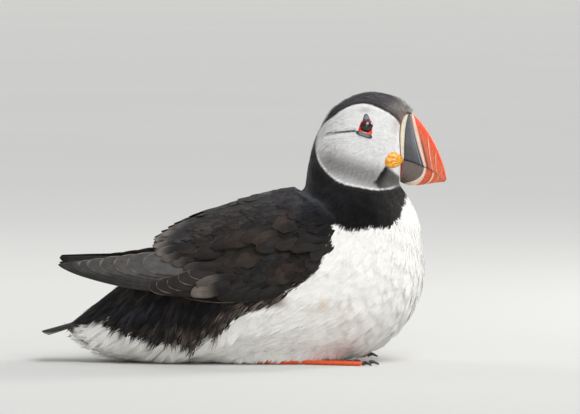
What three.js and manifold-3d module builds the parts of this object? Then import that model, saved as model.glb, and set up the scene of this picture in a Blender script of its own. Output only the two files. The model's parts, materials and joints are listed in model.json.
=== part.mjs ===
// Atlantic puffin, life size, resting on its belly with its feet under it.
//
// Millimetres. +X runs towards the bill, +Y is the bird's left side and +Z is up.
// The origin is on the ground, under the middle of the bird's length and width.
//
// Trunk, neck and head are lofted as one body over a row of ribs and parted by thin cuts.
// The wing pieces are shells that wrap the body, the bill is a row of horn straps lofted
// from the gape over the culmen, and the feet are webbed toes that lie flat.

import * as THREE from 'three';
import { mergeVertices } from 'three/addons/utils/BufferGeometryUtils.js';
import Module from 'manifold-3d';

const wasm = await Module();
wasm.setup();

// ---------------------------------------------------------------- driving dimensions

const LENGTH = 236;            // bill tip to tail tip, in this pose
const GAP = 0.3;               // clearance between neighbouring pieces
const CUT = 0.35;              // width of the cuts that part the body
const ROUNDNESS = 2.2;         // superellipse exponent of the body's ribs
const GROUND_FLAT = 0;         // height of the flats that the bird rests on

const BODY_RINGS = 40;         // rings lofted over the ribs
const BODY_SIDES = 22;         // points round each ring

const EYE = { x: 70.9, z: 137.0, radius: 4.6, proud: 1.5 };
const FOOT = { heelX: 6, jointX: 34, y: 26, toeRadius: 1.45, webThickness: 1.0, splay: 3 };
const TAIL = { rootX: -82, rootZ: 28.5, tipZ: 17.0, rootHalf: 9, tipHalf: 17, thickness: 1.7 };

// Each rib joins a point of the back line to a point of the belly line, [x, z].
// half is its half width, and widest is how far down the rib its widest point lies.
const RIBS = [
  { name: 'coverts end', back: [-101.5, 22.6], belly: [-99.5, 14.6], half: 9, widest: 0.5 },
  { name: 'under tail', back: [-92.5, 29.6], belly: [-88.5, 6.6], half: 16.5, widest: 0.46 },
  { name: 'vent', back: [-80.5, 38.8], belly: [-75.0, 2.2], half: 23.5, widest: 0.48 },
  { name: 'rump', back: [-65.5, 51.0], belly: [-60.5, -0.9], half: 31, widest: 0.52 },
  { name: 'hind back', back: [-48.0, 66.6], belly: [-45.0, -2.6], half: 37.5, widest: 0.55 },
  { name: 'loin', back: [-28.1, 81.0], belly: [-26.4, -3.3], half: 42, widest: 0.56 },
  { name: 'mid back', back: [-4.9, 91.4], belly: [-4.9, -3.5], half: 45, widest: 0.55 },
  { name: 'mantle', back: [17.5, 97.8], belly: [18.3, -3.2], half: 46.5, widest: 0.54 },
  { name: 'shoulder', back: [31.8, 100.0], belly: [41.5, -2.0], half: 46.5, widest: 0.52 },
  { name: 'keel', back: [34.6, 101.2], belly: [62.5, 0.5], half: 46, widest: 0.52 },
  { name: 'lower breast', back: [35.0, 101.9], belly: [81.0, 7.4], half: 45, widest: 0.54 },
  { name: 'breast', back: [35.2, 102.6], belly: [95.2, 21.0], half: 43.5, widest: 0.55 },
  { name: 'full breast', back: [35.4, 103.4], belly: [104.4, 38.8], half: 41, widest: 0.55 },
  { name: 'upper breast', back: [35.6, 104.6], belly: [106.8, 60.4], half: 37.5, widest: 0.54 },
  { name: 'collar', back: [36.0, 106.6], belly: [103.0, 80.5], half: 33, widest: 0.52 },
  { name: 'neck', back: [36.6, 110.8], belly: [97.0, 93.6], half: 27.5, widest: 0.5 },
  { name: 'throat', back: [37.8, 117.2], belly: [92.4, 100.4], half: 23.8, widest: 0.48 },
  { name: 'nape', back: [40.0, 125.0], belly: [91.2, 101.5], half: 22.3, widest: 0.46 },
  { name: 'hind crown', back: [44.3, 134.8], belly: [91.0, 101.8], half: 22.2, widest: 0.44 },
  { name: 'crown rear', back: [51.3, 145.8], belly: [90.9, 102.1], half: 21.8, widest: 0.46 },
  { name: 'crown', back: [61.6, 153.3], belly: [90.8, 102.4], half: 20.4, widest: 0.5 },
  { name: 'crown top', back: [72.8, 156.4], belly: [90.8, 102.7], half: 17.8, widest: 0.56 },
  { name: 'forehead', back: [83.8, 155.4], belly: [90.7, 103.0], half: 13.8, widest: 0.62 },
  { name: 'brow', back: [92.6, 151.2], belly: [90.6, 103.2], half: 10.2, widest: 0.66 },
  { name: 'bill base', back: [98.2, 145.4], belly: [90.5, 103.5], half: 8.2, widest: 0.68 },
];

// The bill's lines in side view, [x, z].
const CULMEN = [[92.6, 145.6], [103.6, 141.4], [115.6, 121.5], [LENGTH / 2, 104.6]];
const MOUTH_LINE = [[91.4, 117.6], [99.5, 116.4], [109.5, 111.4], [117.2, 104.9]];
const GONYS = [[90.9, 104.3], [98.0, 99.6], [107.0, 103.9], [116.9, 104.2]];

const UPPER_BILL = {
  rootHalf: 7.0, tipHalf: 1.1,      // half width at the mouth line
  ridgeRoot: 2.4, ridgeTip: 0.9,    // half width of the rounded ridge
};
const LOWER_BILL = { rootHalf: 6.5, tipHalf: 0.9, ridgeRoot: 2.6, ridgeTip: 0.7 };

// Each edge between two straps of horn runs from the mouth line to the ridge. mouth and
// ridge are shares of those two lines, and bend is the edge's control point, [x, z].
const UPPER_EDGES = [
  { mouth: 0.0, ridge: 0.085, bend: [88.4, 142.0] },   // face
  { mouth: 0.06, ridge: 0.13, bend: [93.0, 141.5] },   // cere to blue-grey plate
  { mouth: 0.5, ridge: 0.15, bend: [97.2, 136.5] },    // plate to pale ridge
  { mouth: 0.56, ridge: 0.19, bend: [101.8, 133.0] },  // pale ridge to orange sheath
  { mouth: 1.0, ridge: 1.0, bend: [117.7, 104.8] },    // tip
];
const LOWER_EDGES = [
  { mouth: 0.0, ridge: 0.0, bend: [91.0, 111.0] },
  { mouth: 0.5, ridge: 0.06, bend: [104.2, 104.6] },
  { mouth: 0.56, ridge: 0.36, bend: [105.2, 104.4] },
  { mouth: 1.0, ridge: 1.0, bend: [117.0, 104.5] },
];

// The folded wing's edges against the body in side view: height at each x.
const WING = {
  rearX: -51, frontX: 53,
  topAngle: 5,                       // degrees from the mid back to the scapulars' edge
  rearLift: 1.5, liftFrom: -8,       // extra share of thickness towards the scapulars' tips
  shoulderZ: [[33, 99], [43, 94.5], [50, 88.5], [53, 84]],
  stepZ: [[-51, 59], [-42, 57.5], [-30, 57.5], [-12, 62.5], [12, 67], [36, 69.5], [53, 80]],
  lowerZ: [[-51, 68], [-38, 57], [-27, 46], [-16, 40.5], [4, 39.5], [21, 43.5], [32, 50],
    [42, 57.5], [48, 68], [53, 78]],
  scapularThickness: 3.6, covertThickness: 2.6,
};

// The flight feathers' blade behind the wing: edges at each x, [x, y, z].
const PRIMARIES = {
  upper: [[-107.5, 8.5, 58.2], [-102, 8, 62.2], [-84, 9, 64.4], [-64, 12.5, 66.6],
    [-44, 19, 68.4], [-24, 27, 66]],
  lower: [[-107.5, 10.5, 57.2], [-102, 12.5, 55.6], [-84, 20, 50.4], [-64, 29.5, 46.4],
    [-44, 37.5, 43.6], [-24, 43, 41]],
  bulge: [0.9, 1.6, 2.8, 3.8, 4.2, 3.6],
};
const SECONDARIES = {
  upper: [[-55.5, 33.6, 46.2], [-48, 34.2, 53.6], [-38, 36.5, 56.8], [-25, 38.6, 57]],
  lower: [[-55.5, 35.2, 44.4], [-48, 38.8, 42.4], [-38, 42.2, 40.8], [-25, 45.2, 39.5]],
  bulge: [0.9, 2.2, 2.8, 2.6],
};

const PLUMAGE_BLACK = { color: 0x1d1c1e, roughness: 0.75 };
const PLUMAGE_BROWN_BLACK = { color: 0x2b2725, roughness: 0.7 };
const PLUMAGE_WHITE = { color: 0xeceae6, roughness: 0.85 };
const HORN_ORANGE = { color: 0xe8502c, roughness: 0.4 };
const HORN_SLATE = { color: 0x55585d, roughness: 0.45 };
const HORN_CREAM = { color: 0xe9dcc0, roughness: 0.5 };
const ROSETTE_YELLOW = { color: 0xeda21c, roughness: 0.5 };
const LID_RED = { color: 0xc9241b, roughness: 0.5 };
const EYE_DARK = { color: 0x120d0b, roughness: 0.1 };
const FOOT_ORANGE = { color: 0xe2561f, roughness: 0.55 };
const CLAW_BLACK = { color: 0x1c1816, roughness: 0.4 };

// ---------------------------------------------------------------- solids

const lerp = THREE.MathUtils.lerp;
const clamp = (value) => THREE.MathUtils.clamp(value, 0, 1);
const rad = THREE.MathUtils.degToRad;

/** A closed three.js geometry as a manifold-3d solid. */
function solid(geometry) {
  const bare = new THREE.BufferGeometry();
  bare.setAttribute('position', geometry.getAttribute('position'));
  if (geometry.index) bare.setIndex(geometry.index);
  const merged = mergeVertices(bare, 1e-4);
  const made = new wasm.Manifold(new wasm.Mesh({
    numProp: 3,
    vertProperties: new Float32Array(merged.attributes.position.array),
    triVerts: new Uint32Array(merged.index.array),
  }));
  if (made.volume() > 0) return made;
  const flipped = new Uint32Array(merged.index.array);
  for (let i = 0; i < flipped.length; i += 3) {
    [flipped[i + 1], flipped[i + 2]] = [flipped[i + 2], flipped[i + 1]];
  }
  return new wasm.Manifold(new wasm.Mesh({
    numProp: 3,
    vertProperties: new Float32Array(merged.attributes.position.array),
    triVerts: flipped,
  }));
}

/** A manifold-3d solid as a three.js geometry. */
function geometryOf(body) {
  const mesh = body.getMesh();
  const geometry = new THREE.BufferGeometry();
  const points = new Float32Array(mesh.numVert * 3);
  for (let i = 0; i < mesh.numVert; i++) {
    points.set(mesh.vertProperties.subarray(i * mesh.numProp, i * mesh.numProp + 3), i * 3);
  }
  geometry.setAttribute('position', new THREE.BufferAttribute(points, 3));
  geometry.setIndex(new THREE.BufferAttribute(new Uint32Array(mesh.triVerts), 1));
  geometry.computeVertexNormals();
  return geometry;
}

/** The largest body of a solid, without the slivers that a cut can leave. */
function largest(body) {
  return body.decompose().sort((a, b) => b.volume() - a.volume())[0];
}

/**
 * A closed loft over rings of equal length. Each end is closed by a strip of triangles
 * between the ring's two halves, so a ring may be bent like an arc with a thickness.
 */
function loft(rings) {
  const sides = rings[0].length;
  const points = [];
  const faces = [];
  for (const ring of rings) for (const p of ring) points.push(p.x, p.y, p.z);
  for (let i = 0; i + 1 < rings.length; i++) {
    for (let j = 0; j < sides; j++) {
      const a = i * sides + j;
      const b = i * sides + (j + 1) % sides;
      faces.push(a, b, b + sides, a, b + sides, a + sides);
    }
  }
  const end = (rings.length - 1) * sides;
  for (let [j, k] = [0, sides - 1]; j + 1 < k; j++, k--) {
    faces.push(k, j + 1, j, end + j, end + j + 1, end + k);
    if (j + 1 < k - 1) {
      faces.push(k, k - 1, j + 1, end + j + 1, end + k - 1, end + k);
    }
  }
  const geometry = new THREE.BufferGeometry();
  geometry.setAttribute('position', new THREE.Float32BufferAttribute(points, 3));
  geometry.setIndex(faces);
  return solid(geometry);
}

/** A side-view outline, as [x, z] points, extruded across the bird from y0 to y1. */
function sidePrism(outline, y0, y1) {
  const shape = new THREE.Shape(outline.map(([x, z]) => new THREE.Vector2(x, z)));
  const geometry = new THREE.ExtrudeGeometry(shape, { depth: y1 - y0, bevelEnabled: false });
  geometry.applyMatrix4(new THREE.Matrix4().makeBasis(
    new THREE.Vector3(1, 0, 0), new THREE.Vector3(0, 0, 1), new THREE.Vector3(0, 1, 0)));
  geometry.translate(0, y0, 0);
  return solid(geometry);
}

function box(x0, x1, y0, y1, z0, z1) {
  const geometry = new THREE.BoxGeometry(x1 - x0, y1 - y0, z1 - z0);
  geometry.translate((x0 + x1) / 2, (y0 + y1) / 2, (z0 + z1) / 2);
  return solid(geometry);
}

/** The other side's copy of a solid. */
function mirrored(body) {
  const geometry = geometryOf(body);
  geometry.scale(1, -1, 1);
  return solid(geometry);
}

/** Linear interpolation in a table of [x, value] rows. */
function valueAt(table, x) {
  if (x <= table[0][0]) return table[0][1];
  for (let i = 0; i + 1 < table.length; i++) {
    const [x0, v0] = table[i];
    const [x1, v1] = table[i + 1];
    if (x <= x1) return lerp(v0, v1, (x - x0) / (x1 - x0));
  }
  return table.at(-1)[1];
}

// ---------------------------------------------------------------- body

const backLine = new THREE.CatmullRomCurve3(
  RIBS.map((r) => new THREE.Vector3(r.back[0], 0, r.back[1])), false, 'catmullrom', 0.5);
const bellyLine = new THREE.CatmullRomCurve3(
  RIBS.map((r) => new THREE.Vector3(r.belly[0], 0, r.belly[1])), false, 'catmullrom', 0.5);
const widthLine = new THREE.CatmullRomCurve3(
  RIBS.map((r) => new THREE.Vector3(r.half, r.widest, 0)), false, 'catmullrom', 0.5);

/** One ring of the body, u from 0 at the tail to 1 at the bill, grown outwards. */
function bodyRing(u, grow) {
  const back = backLine.getPoint(u);
  const belly = bellyLine.getPoint(u);
  const { x: half, y: widest } = widthLine.getPoint(u);
  const down = belly.clone().sub(back).normalize();
  back.addScaledVector(down, -grow);
  belly.addScaledVector(down, grow);
  const span = belly.clone().sub(back);
  const ring = [];
  for (let j = 0; j < BODY_SIDES; j++) {
    const turn = (2 * Math.PI * j) / BODY_SIDES;
    const c = Math.cos(turn);
    const s = Math.sin(turn);
    const along = Math.abs(c) ** (2 / ROUNDNESS);
    const share = c > 0 ? widest * (1 - along) : widest + (1 - widest) * along;
    const y = (half + grow) * Math.sign(s) * Math.abs(s) ** (2 / ROUNDNESS);
    ring.push(back.clone().addScaledVector(span, share).setY(Math.abs(s) < 1e-9 ? 0 : y));
  }
  return ring;
}

/** Trunk, neck and head in one piece. */
function wholeBody(grow) {
  const rings = [];
  for (let i = 0; i <= BODY_RINGS; i++) rings.push(bodyRing(i / BODY_RINGS, grow));
  for (const p of rings[0]) p.x -= grow;
  for (const p of rings.at(-1)) p.x += grow;
  const below = box(-200, 200, -100, 100, -50, GROUND_FLAT - grow);
  return loft(rings).subtract(below);
}

/** The thin slab that parts the body across one named rib. */
function ribCut(name) {
  const rib = RIBS.find((r) => r.name === name);
  const back = new THREE.Vector2(...rib.back);
  const belly = new THREE.Vector2(...rib.belly);
  const down = belly.clone().sub(back).normalize();
  const side = new THREE.Vector2(-down.y, down.x).multiplyScalar(CUT / 2);
  const reach = 12;
  const start = back.clone().addScaledVector(down, -reach);
  const end = belly.clone().addScaledVector(down, reach);
  return sidePrism([
    [start.x - side.x, start.y - side.y], [end.x - side.x, end.y - side.y],
    [end.x + side.x, end.y + side.y], [start.x + side.x, start.y + side.y],
  ], -60, 60);
}

// ---------------------------------------------------------------- bill

/** A cubic Bezier in side view at share t. */
function cubic([a, b, c, d], t) {
  const s = 1 - t;
  return [0, 1].map((k) => s ** 3 * a[k] + 3 * s * s * t * b[k] + 3 * s * t * t * c[k]
    + t ** 3 * d[k]);
}

/**
 * One section of a mandible: from the mouth line on the right, over the ridge, to the
 * mouth line on the left. edge says where it starts and ends, as in UPPER_EDGES.
 */
function billSection(edge, ridgeLine, widths, grow) {
  const mouth = cubic(MOUTH_LINE, edge.mouth);
  const ridge = cubic(ridgeLine, edge.ridge);
  const up = Math.sign(ridge[1] - mouth[1]) || 1;
  const half = lerp(widths.rootHalf, widths.tipHalf, edge.mouth ** 1.3) + grow;
  const cap = lerp(widths.ridgeRoot, widths.ridgeTip, edge.ridge) + grow;
  const steps = 6;
  const right = [];
  for (let i = 0; i <= steps; i++) {
    const v = i / steps;
    const s = 1 - v;
    const x = s * s * mouth[0] + 2 * s * v * edge.bend[0] + v * v * ridge[0];
    const z = s * s * mouth[1] + 2 * s * v * edge.bend[1] + v * v * ridge[1];
    const y = lerp(half, cap, v ** 1.5) * Math.sqrt(1 - v ** 6);
    right.push(new THREE.Vector3(x, -y, z + up * grow * (2 * v - 1)));
  }
  const left = right.slice(0, -1).reverse().map((p) => new THREE.Vector3(p.x, -p.y, p.z));
  return [...right, ...left];
}

/** The edge that lies a share s of the way from edge a to edge b. */
function edgeBetween(a, b, s) {
  return {
    mouth: lerp(a.mouth, b.mouth, s),
    ridge: lerp(a.ridge, b.ridge, s),
    bend: [lerp(a.bend[0], b.bend[0], s), lerp(a.bend[1], b.bend[1], s)],
  };
}

/** The strap of horn between two edges, set back at both ends by half a gap. */
function billStrap(edges, index, ridgeLine, widths, sections, grow = 0) {
  const [from, to] = [edges[index], edges[index + 1]];
  const width = Math.max(
    Math.hypot(...[0, 1].map((k) => cubic(ridgeLine, to.ridge)[k]
      - cubic(ridgeLine, from.ridge)[k])),
    Math.hypot(...[0, 1].map((k) => cubic(MOUTH_LINE, to.mouth)[k]
      - cubic(MOUTH_LINE, from.mouth)[k])));
  const inset = grow ? 0 : (0.9 * GAP) / width;
  const last = to.mouth === 1 ? 0.975 : 1 - inset;
  const rings = [];
  for (let i = 0; i <= sections; i++) {
    const share = lerp(inset, last, i / sections);
    rings.push(billSection(edgeBetween(from, to, share), ridgeLine, widths, grow));
  }
  return loft(rings);
}

/** The slot along the mouth line that keeps the two mandibles apart. */
function mouthSlot() {
  const line = [];
  for (let i = 0; i <= 8; i++) line.push(cubic(MOUTH_LINE, i / 8));
  const first = [line[0][0] - 3, line[0][1] + 0.4];
  const end = [LENGTH / 2 + 2, line.at(-1)[1] - 0.6];
  const top = [first, ...line, end].map(([x, z]) => [x, z + GAP / 2]);
  const bottom = [first, ...line, end].map(([x, z]) => [x, z - GAP / 2]).reverse();
  return sidePrism([...top, ...bottom], -15, 15);
}

function billPieces() {
  const slot = mouthSlot();
  const upperNames = ['bill_cere', 'bill_upper_plate', 'bill_upper_ridge', 'bill_upper_sheath'];
  const lowerNames = ['bill_lower_plate', 'bill_lower_ridge', 'bill_lower_sheath'];
  const looks = [HORN_CREAM, HORN_SLATE, HORN_CREAM, HORN_ORANGE];
  const upper = upperNames.map((name, i) => ({
    name,
    look: looks[i],
    body: billStrap(UPPER_EDGES, i, CULMEN, UPPER_BILL, i === 3 ? 7 : 3),
  }));
  const lower = lowerNames.map((name, i) => ({
    name,
    look: looks[i + 1],
    body: billStrap(LOWER_EDGES, i, GONYS, LOWER_BILL, i === 2 ? 5 : 3),
  }));
  const pieces = [];
  for (const piece of [...upper, ...lower]) {
    const body = largest(piece.body.subtract(slot));
    pieces.push({ ...piece, body });
  }
  return pieces;
}

/** The room that the bill takes in front of the face, as one prism. */
function billRoom() {
  const face = [];
  const edge = UPPER_EDGES[0];
  const mouth = cubic(MOUTH_LINE, 0);
  const ridge = cubic(CULMEN, edge.ridge);
  for (let i = 0; i <= 8; i++) {
    const v = i / 8;
    const s = 1 - v;
    face.push([
      s * s * mouth[0] + 2 * s * v * edge.bend[0] + v * v * ridge[0] - GAP,
      s * s * mouth[1] + 2 * s * v * edge.bend[1] + v * v * ridge[1] + GAP * v,
    ]);
  }
  const over = [0.13, 0.19, 0.3].map((share) => cubic(CULMEN, share))
    .map(([x, z]) => [x + GAP, z + 2 * GAP]);
  return sidePrism([[90.3, 102.9], ...face, ...over, [130, 130], [130, 98], [99, 100.4],
    [92.2, 101.6]], -30, 30);
}

// ---------------------------------------------------------------- face

/** A thin piece that lies on the side of the head: a side-view outline, this thick. */
function facePiece(outline, thickness, heads, side) {
  const prism = side < 0 ? sidePrism(outline, -40, -2) : sidePrism(outline, 2, 40);
  return prism.intersect(heads(GAP + thickness)).subtract(heads(GAP));
}

function ellipseOutline(x, z, rx, rz, tilt, count, pinch = 0) {
  const outline = [];
  for (let i = 0; i < count; i++) {
    const turn = (2 * Math.PI * i) / count;
    const along = rx * Math.cos(turn);
    const across = rz * Math.sin(turn) * (1 - pinch * Math.cos(turn));
    outline.push([
      x + along * Math.cos(tilt) - across * Math.sin(tilt),
      z + along * Math.sin(tilt) + across * Math.cos(tilt),
    ]);
  }
  return outline;
}

/** The half width of the body at a point of its side view, found by a ray. */
function bodyHalfWidth(probe, x, z) {
  const ray = new THREE.Raycaster(new THREE.Vector3(x, 100, z), new THREE.Vector3(0, -1, 0));
  const hits = ray.intersectObject(probe);
  return hits.length ? hits[0].point.y : 0;
}

function facePieces(heads, probe) {
  const pieces = [];
  const eyeDepth = bodyHalfWidth(probe, EYE.x, EYE.z) + EYE.proud - EYE.radius;
  for (const [sideName, side] of [['right', -1], ['left', 1]]) {
    const ball = (grow) => {
      const geometry = new THREE.SphereGeometry(EYE.radius + grow, 14, 8);
      geometry.translate(EYE.x, side * eyeDepth, EYE.z);
      return solid(geometry);
    };
    const socket = ball(GAP);
    const { x, z } = EYE;
    pieces.push({ name: `eye_${sideName}`, look: EYE_DARK, body: ball(0), socket });
    const ring = [[x - 3.5, z - 2.9], [x - 3.9, z + 0.2], [x - 3.1, z + 2.6], [x - 2.0, z + 3.9],
      [x + 2.0, z + 3.9], [x + 3.1, z + 2.4], [x + 3.9, z - 0.6], [x + 3.4, z - 4.4],
      [x - 0.6, z - 4.1]];
    const upperPlate = [[x - 1.9, z + 4.2], [x - 0.6, z + 7.8], [x + 0.9, z + 7.8],
      [x + 1.9, z + 4.2]];
    const lowerPlate = [[x - 5.6, z - 3.2], [x - 4.4, z - 2.9], [x - 0.7, z - 4.5],
      [x + 3.4, z - 4.8], [x + 3.2, z - 6.7], [x + 1.4, z - 6.7], [x - 3.4, z - 5.2]];
    pieces.push({
      name: `eye_ring_${sideName}`,
      look: LID_RED,
      body: facePiece(ring, 0.9, heads, side).subtract(ball(GAP)),
    });
    pieces.push({
      name: `eye_plate_upper_${sideName}`,
      look: HORN_SLATE,
      body: facePiece(upperPlate, 1.1, heads, side),
    });
    pieces.push({
      name: `eye_plate_lower_${sideName}`,
      look: HORN_SLATE,
      body: facePiece(lowerPlate, 1.1, heads, side),
    });
    const rosette = ellipseOutline(86.5, 117.4, 4.4, 4.2, rad(-8), 14, 0.25);
    pieces.push({
      name: `gape_rosette_${sideName}`,
      look: ROSETTE_YELLOW,
      body: facePiece(rosette, 1.5, heads, side),
    });
  }
  return pieces;
}

// ---------------------------------------------------------------- wings

/**
 * A shell that wraps the trunk from angle top(x) to bottom(x), measured at the body's
 * axis from straight up. Its thickness fades to a thin rim all round, and it reaches into
 * the trunk, to be cut to fit. grow makes it larger on every side.
 */
function wrappedShell(probe, axisZ, spec, grow = 0) {
  const { x0, x1, top, bottom, thickness, lift, stations, steps } = spec;
  const rim = 0.55;
  const depth = 1.5;
  const widen = grow * rad(1.4);
  const rings = [];
  for (let i = 0; i <= stations; i++) {
    const s = i / stations;
    const x = lerp(x0, x1, s);
    const shift = grow * (i === 0 ? -1 : i === stations ? 1 : 0);
    const ends = Math.sqrt(Math.max(0, 1 - (2 * s - 1) ** (s < 0.5 ? 14 : 6)));
    const outer = [];
    const inner = [];
    for (let j = 0; j <= steps; j++) {
      const t = j / steps;
      const angle = lerp(top(x), bottom(x), t);
      const { r } = surfaceHit(probe, axisZ, x, angle);
      const edge = t < 0.5 ? 1 - 0.75 * (1 - 2 * t) ** 8 : 1 - (2 * t - 1) ** 4;
      const full = thickness * ends * edge * (1 + lift(x) * (1 - t)) + grow;
      const turned = angle + widen * (j === 0 ? -1 : j === steps ? 1 : 0);
      const outwards = new THREE.Vector3(0, Math.sin(turned), Math.cos(turned));
      const from = new THREE.Vector3(x + shift, 0, axisZ(x));
      outer.push(from.clone().addScaledVector(outwards, r + GAP + rim + full));
      inner.push(from.clone().addScaledVector(outwards, r - depth));
    }
    rings.push([...outer, ...inner.reverse()]);
  }
  return loft(rings);
}

/** Where a ray from the body's axis at x, turned this far from straight up, leaves it. */
function surfaceHit(probe, axisZ, x, angle) {
  const from = new THREE.Vector3(x, 0, axisZ(x));
  const outwards = new THREE.Vector3(0, Math.sin(angle), Math.cos(angle));
  const found = new THREE.Raycaster(from, outwards).intersectObject(probe);
  return { r: found[0].distance, z: found[0].point.z };
}

/** The angle from straight up at which the trunk's surface is at height z. */
function angleAtHeight(probe, axisZ, x, z) {
  let [low, high] = [0, rad(150)];
  for (let i = 0; i < 18; i++) {
    const mid = (low + high) / 2;
    if (surfaceHit(probe, axisZ, x, mid).z > z) low = mid;
    else high = mid;
  }
  return (low + high) / 2;
}

/** A thin blade between an upper and a lower edge, thickest halfway down. */
function blade({ upper, lower, bulge }, grow = 0) {
  const curve = (points) => new THREE.CatmullRomCurve3(
    points.map((p) => new THREE.Vector3(...p)), false, 'catmullrom', 0.5);
  const [top, bottom] = [curve(upper), curve(lower)];
  const thick = curve(bulge.map((b) => [b, 0, 0]));
  const rings = [];
  const steps = 5;
  const stations = 2 * upper.length - 1;
  for (let i = 0; i <= stations; i++) {
    const s = i / stations;
    const a = top.getPoint(s);
    const b = bottom.getPoint(s);
    const down = b.clone().sub(a).normalize();
    const out = new THREE.Vector3(0, -down.z, down.y).normalize();
    if (out.y < 0) out.negate();
    a.addScaledVector(down, -grow);
    b.addScaledVector(down, grow);
    const full = thick.getPoint(s).x;
    const shift = grow * (i === 0 ? -1 : i === stations ? 1 : 0);
    const at = (t, lift) => {
      const p = a.clone().lerp(b, t).addScaledVector(out, lift);
      return p.setX(p.x + shift);
    };
    const outer = [];
    const inner = [];
    for (let j = 0; j <= steps; j++) {
      const t = j / steps;
      const arch = full * Math.sin(Math.PI * t) ** 0.7;
      outer.push(at(t, arch + 0.4 + grow));
      inner.push(at(t, arch * 0.45 - 0.4 - grow));
    }
    rings.push([...outer, ...inner.reverse()]);
  }
  return loft(rings);
}

function wingPieces(bodies, probe) {
  const axisZ = (x) => (x > 20 ? 52 : lerp(34, 52, (x + 60) / 80));
  const top = (x) => (x < WING.shoulderZ[0][0]
    ? rad(WING.topAngle)
    : Math.max(rad(WING.topAngle), angleAtHeight(probe, axisZ, x, valueAt(WING.shoulderZ, x))));
  const stations = 20;
  const table = (rows) => {
    const angles = [];
    for (let i = 0; i <= stations; i++) {
      const x = lerp(WING.rearX, WING.frontX, i / stations);
      angles.push([x, angleAtHeight(probe, axisZ, x, valueAt(rows, x))]);
    }
    return (x) => valueAt(angles, x);
  };
  const step = table(WING.stepZ);
  const bottom = table(WING.lowerZ);
  const lap = rad(2);
  const scapularShell = {
    x0: WING.rearX, x1: WING.frontX - 1, top, bottom: step,
    thickness: WING.scapularThickness, stations: 14, steps: 5,
    lift: (x) => WING.rearLift * clamp((WING.liftFrom - x) / (WING.liftFrom - WING.rearX)),
  };
  const covertShell = {
    x0: -33, x1: WING.frontX - 3, top: (x) => step(x) - lap, bottom,
    thickness: WING.covertThickness, stations: 12, steps: 4, lift: () => 0,
  };
  const room = bodies(GAP);
  const besideScapulars = wrappedShell(probe, axisZ, scapularShell, GAP);
  const scapulars = largest(wrappedShell(probe, axisZ, scapularShell).subtract(room));
  const coverts = largest(wrappedShell(probe, axisZ, covertShell)
    .subtract(room).subtract(besideScapulars));
  const arm = room.add(besideScapulars).add(wrappedShell(probe, axisZ, covertShell, GAP));
  const secondaries = largest(blade(SECONDARIES).subtract(arm));
  const primaries = largest(blade(PRIMARIES).subtract(arm).subtract(blade(SECONDARIES, GAP)));
  const left = [
    { name: 'scapulars', look: PLUMAGE_BROWN_BLACK, body: scapulars },
    { name: 'wing_coverts', look: PLUMAGE_BLACK, body: coverts },
    { name: 'secondaries', look: PLUMAGE_BROWN_BLACK, body: secondaries },
    { name: 'primaries', look: PLUMAGE_BROWN_BLACK, body: primaries },
  ];
  return left.flatMap(({ name, look, body }) => [
    { name: `${name}_left`, look, body },
    { name: `${name}_right`, look, body: mirrored(body) },
  ]);
}

// ---------------------------------------------------------------- tail

/** The tail feathers as one fan, its end scalloped by their rounded tips. */
function tailFan(bodies) {
  const feathers = 12;
  const steps = 24;
  const layer = (lift) => {
    const rows = [];
    for (let i = 0; i <= 4; i++) {
      const s = i / 4;
      const row = [];
      for (let j = 0; j <= steps; j++) {
        const t = (2 * j) / steps - 1;
        const scallop = 0.6 * Math.abs(Math.sin((Math.PI * feathers * (t + 1)) / 4));
        const tipX = -LENGTH / 2 + 0.6 - scallop + 4.5 * t * t;
        const y = t * lerp(TAIL.rootHalf, TAIL.tipHalf, s ** 0.8);
        const arch = -1.1 * t * t;
        row.push(new THREE.Vector3(lerp(TAIL.rootX, tipX, s), y,
          lerp(TAIL.rootZ, TAIL.tipZ, s ** 0.85) + arch + lift));
      }
      rows.push(row);
    }
    return rows;
  };
  const upper = layer(TAIL.thickness / 2);
  const lower = layer(-TAIL.thickness / 2);
  const rings = upper.map((row, i) => [...row, ...lower[i].reverse()]);
  return largest(loft(rings).subtract(bodies(GAP)));
}

// ---------------------------------------------------------------- feet

/** A flattened, tapering tube from a to b that lies on the ground. */
function groundTube(a, b, r0, r1, flat = 0.85) {
  const sides = 8;
  const rings = [];
  const along = b.clone().sub(a);
  const heading = Math.atan2(along.y, along.x);
  const steps = 3;
  for (let i = 0; i <= steps; i++) {
    const s = i / steps;
    const r = lerp(r0, r1, s) * (i === 0 || i === steps ? 0.75 : 1);
    const middle = a.clone().lerp(b, s);
    const ring = [];
    for (let j = 0; j < sides; j++) {
      const turn = (2 * Math.PI * j) / sides;
      const across = r * Math.cos(turn);
      ring.push(new THREE.Vector3(
        middle.x - across * Math.sin(heading),
        middle.y + across * Math.cos(heading),
        Math.max(GROUND_FLAT, middle.z + flat * r * Math.sin(turn))));
    }
    rings.push(ring);
  }
  return loft(rings);
}

/** A claw: a horn curving down to the ground from a toe's end. */
function claw(tip, heading, size) {
  const rings = [];
  const steps = 4;
  for (let i = 0; i <= steps; i++) {
    const s = i / steps;
    const r = lerp(1.15, 0.28, s ** 0.9) * size;
    const forward = 5.6 * size * s;
    const height = 1.35 + 0.9 * Math.sin(Math.PI * Math.min(1, s * 1.15)) - 0.75 * s;
    const ring = [];
    for (let j = 0; j < 7; j++) {
      const turn = (2 * Math.PI * j) / 7;
      const across = 0.75 * r * Math.cos(turn);
      ring.push(new THREE.Vector3(
        tip.x + forward * Math.cos(heading) - across * Math.sin(heading),
        tip.y + forward * Math.sin(heading) + across * Math.cos(heading),
        Math.max(GROUND_FLAT, height + r * Math.sin(turn))));
    }
    rings.push(ring);
  }
  return loft(rings);
}

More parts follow.
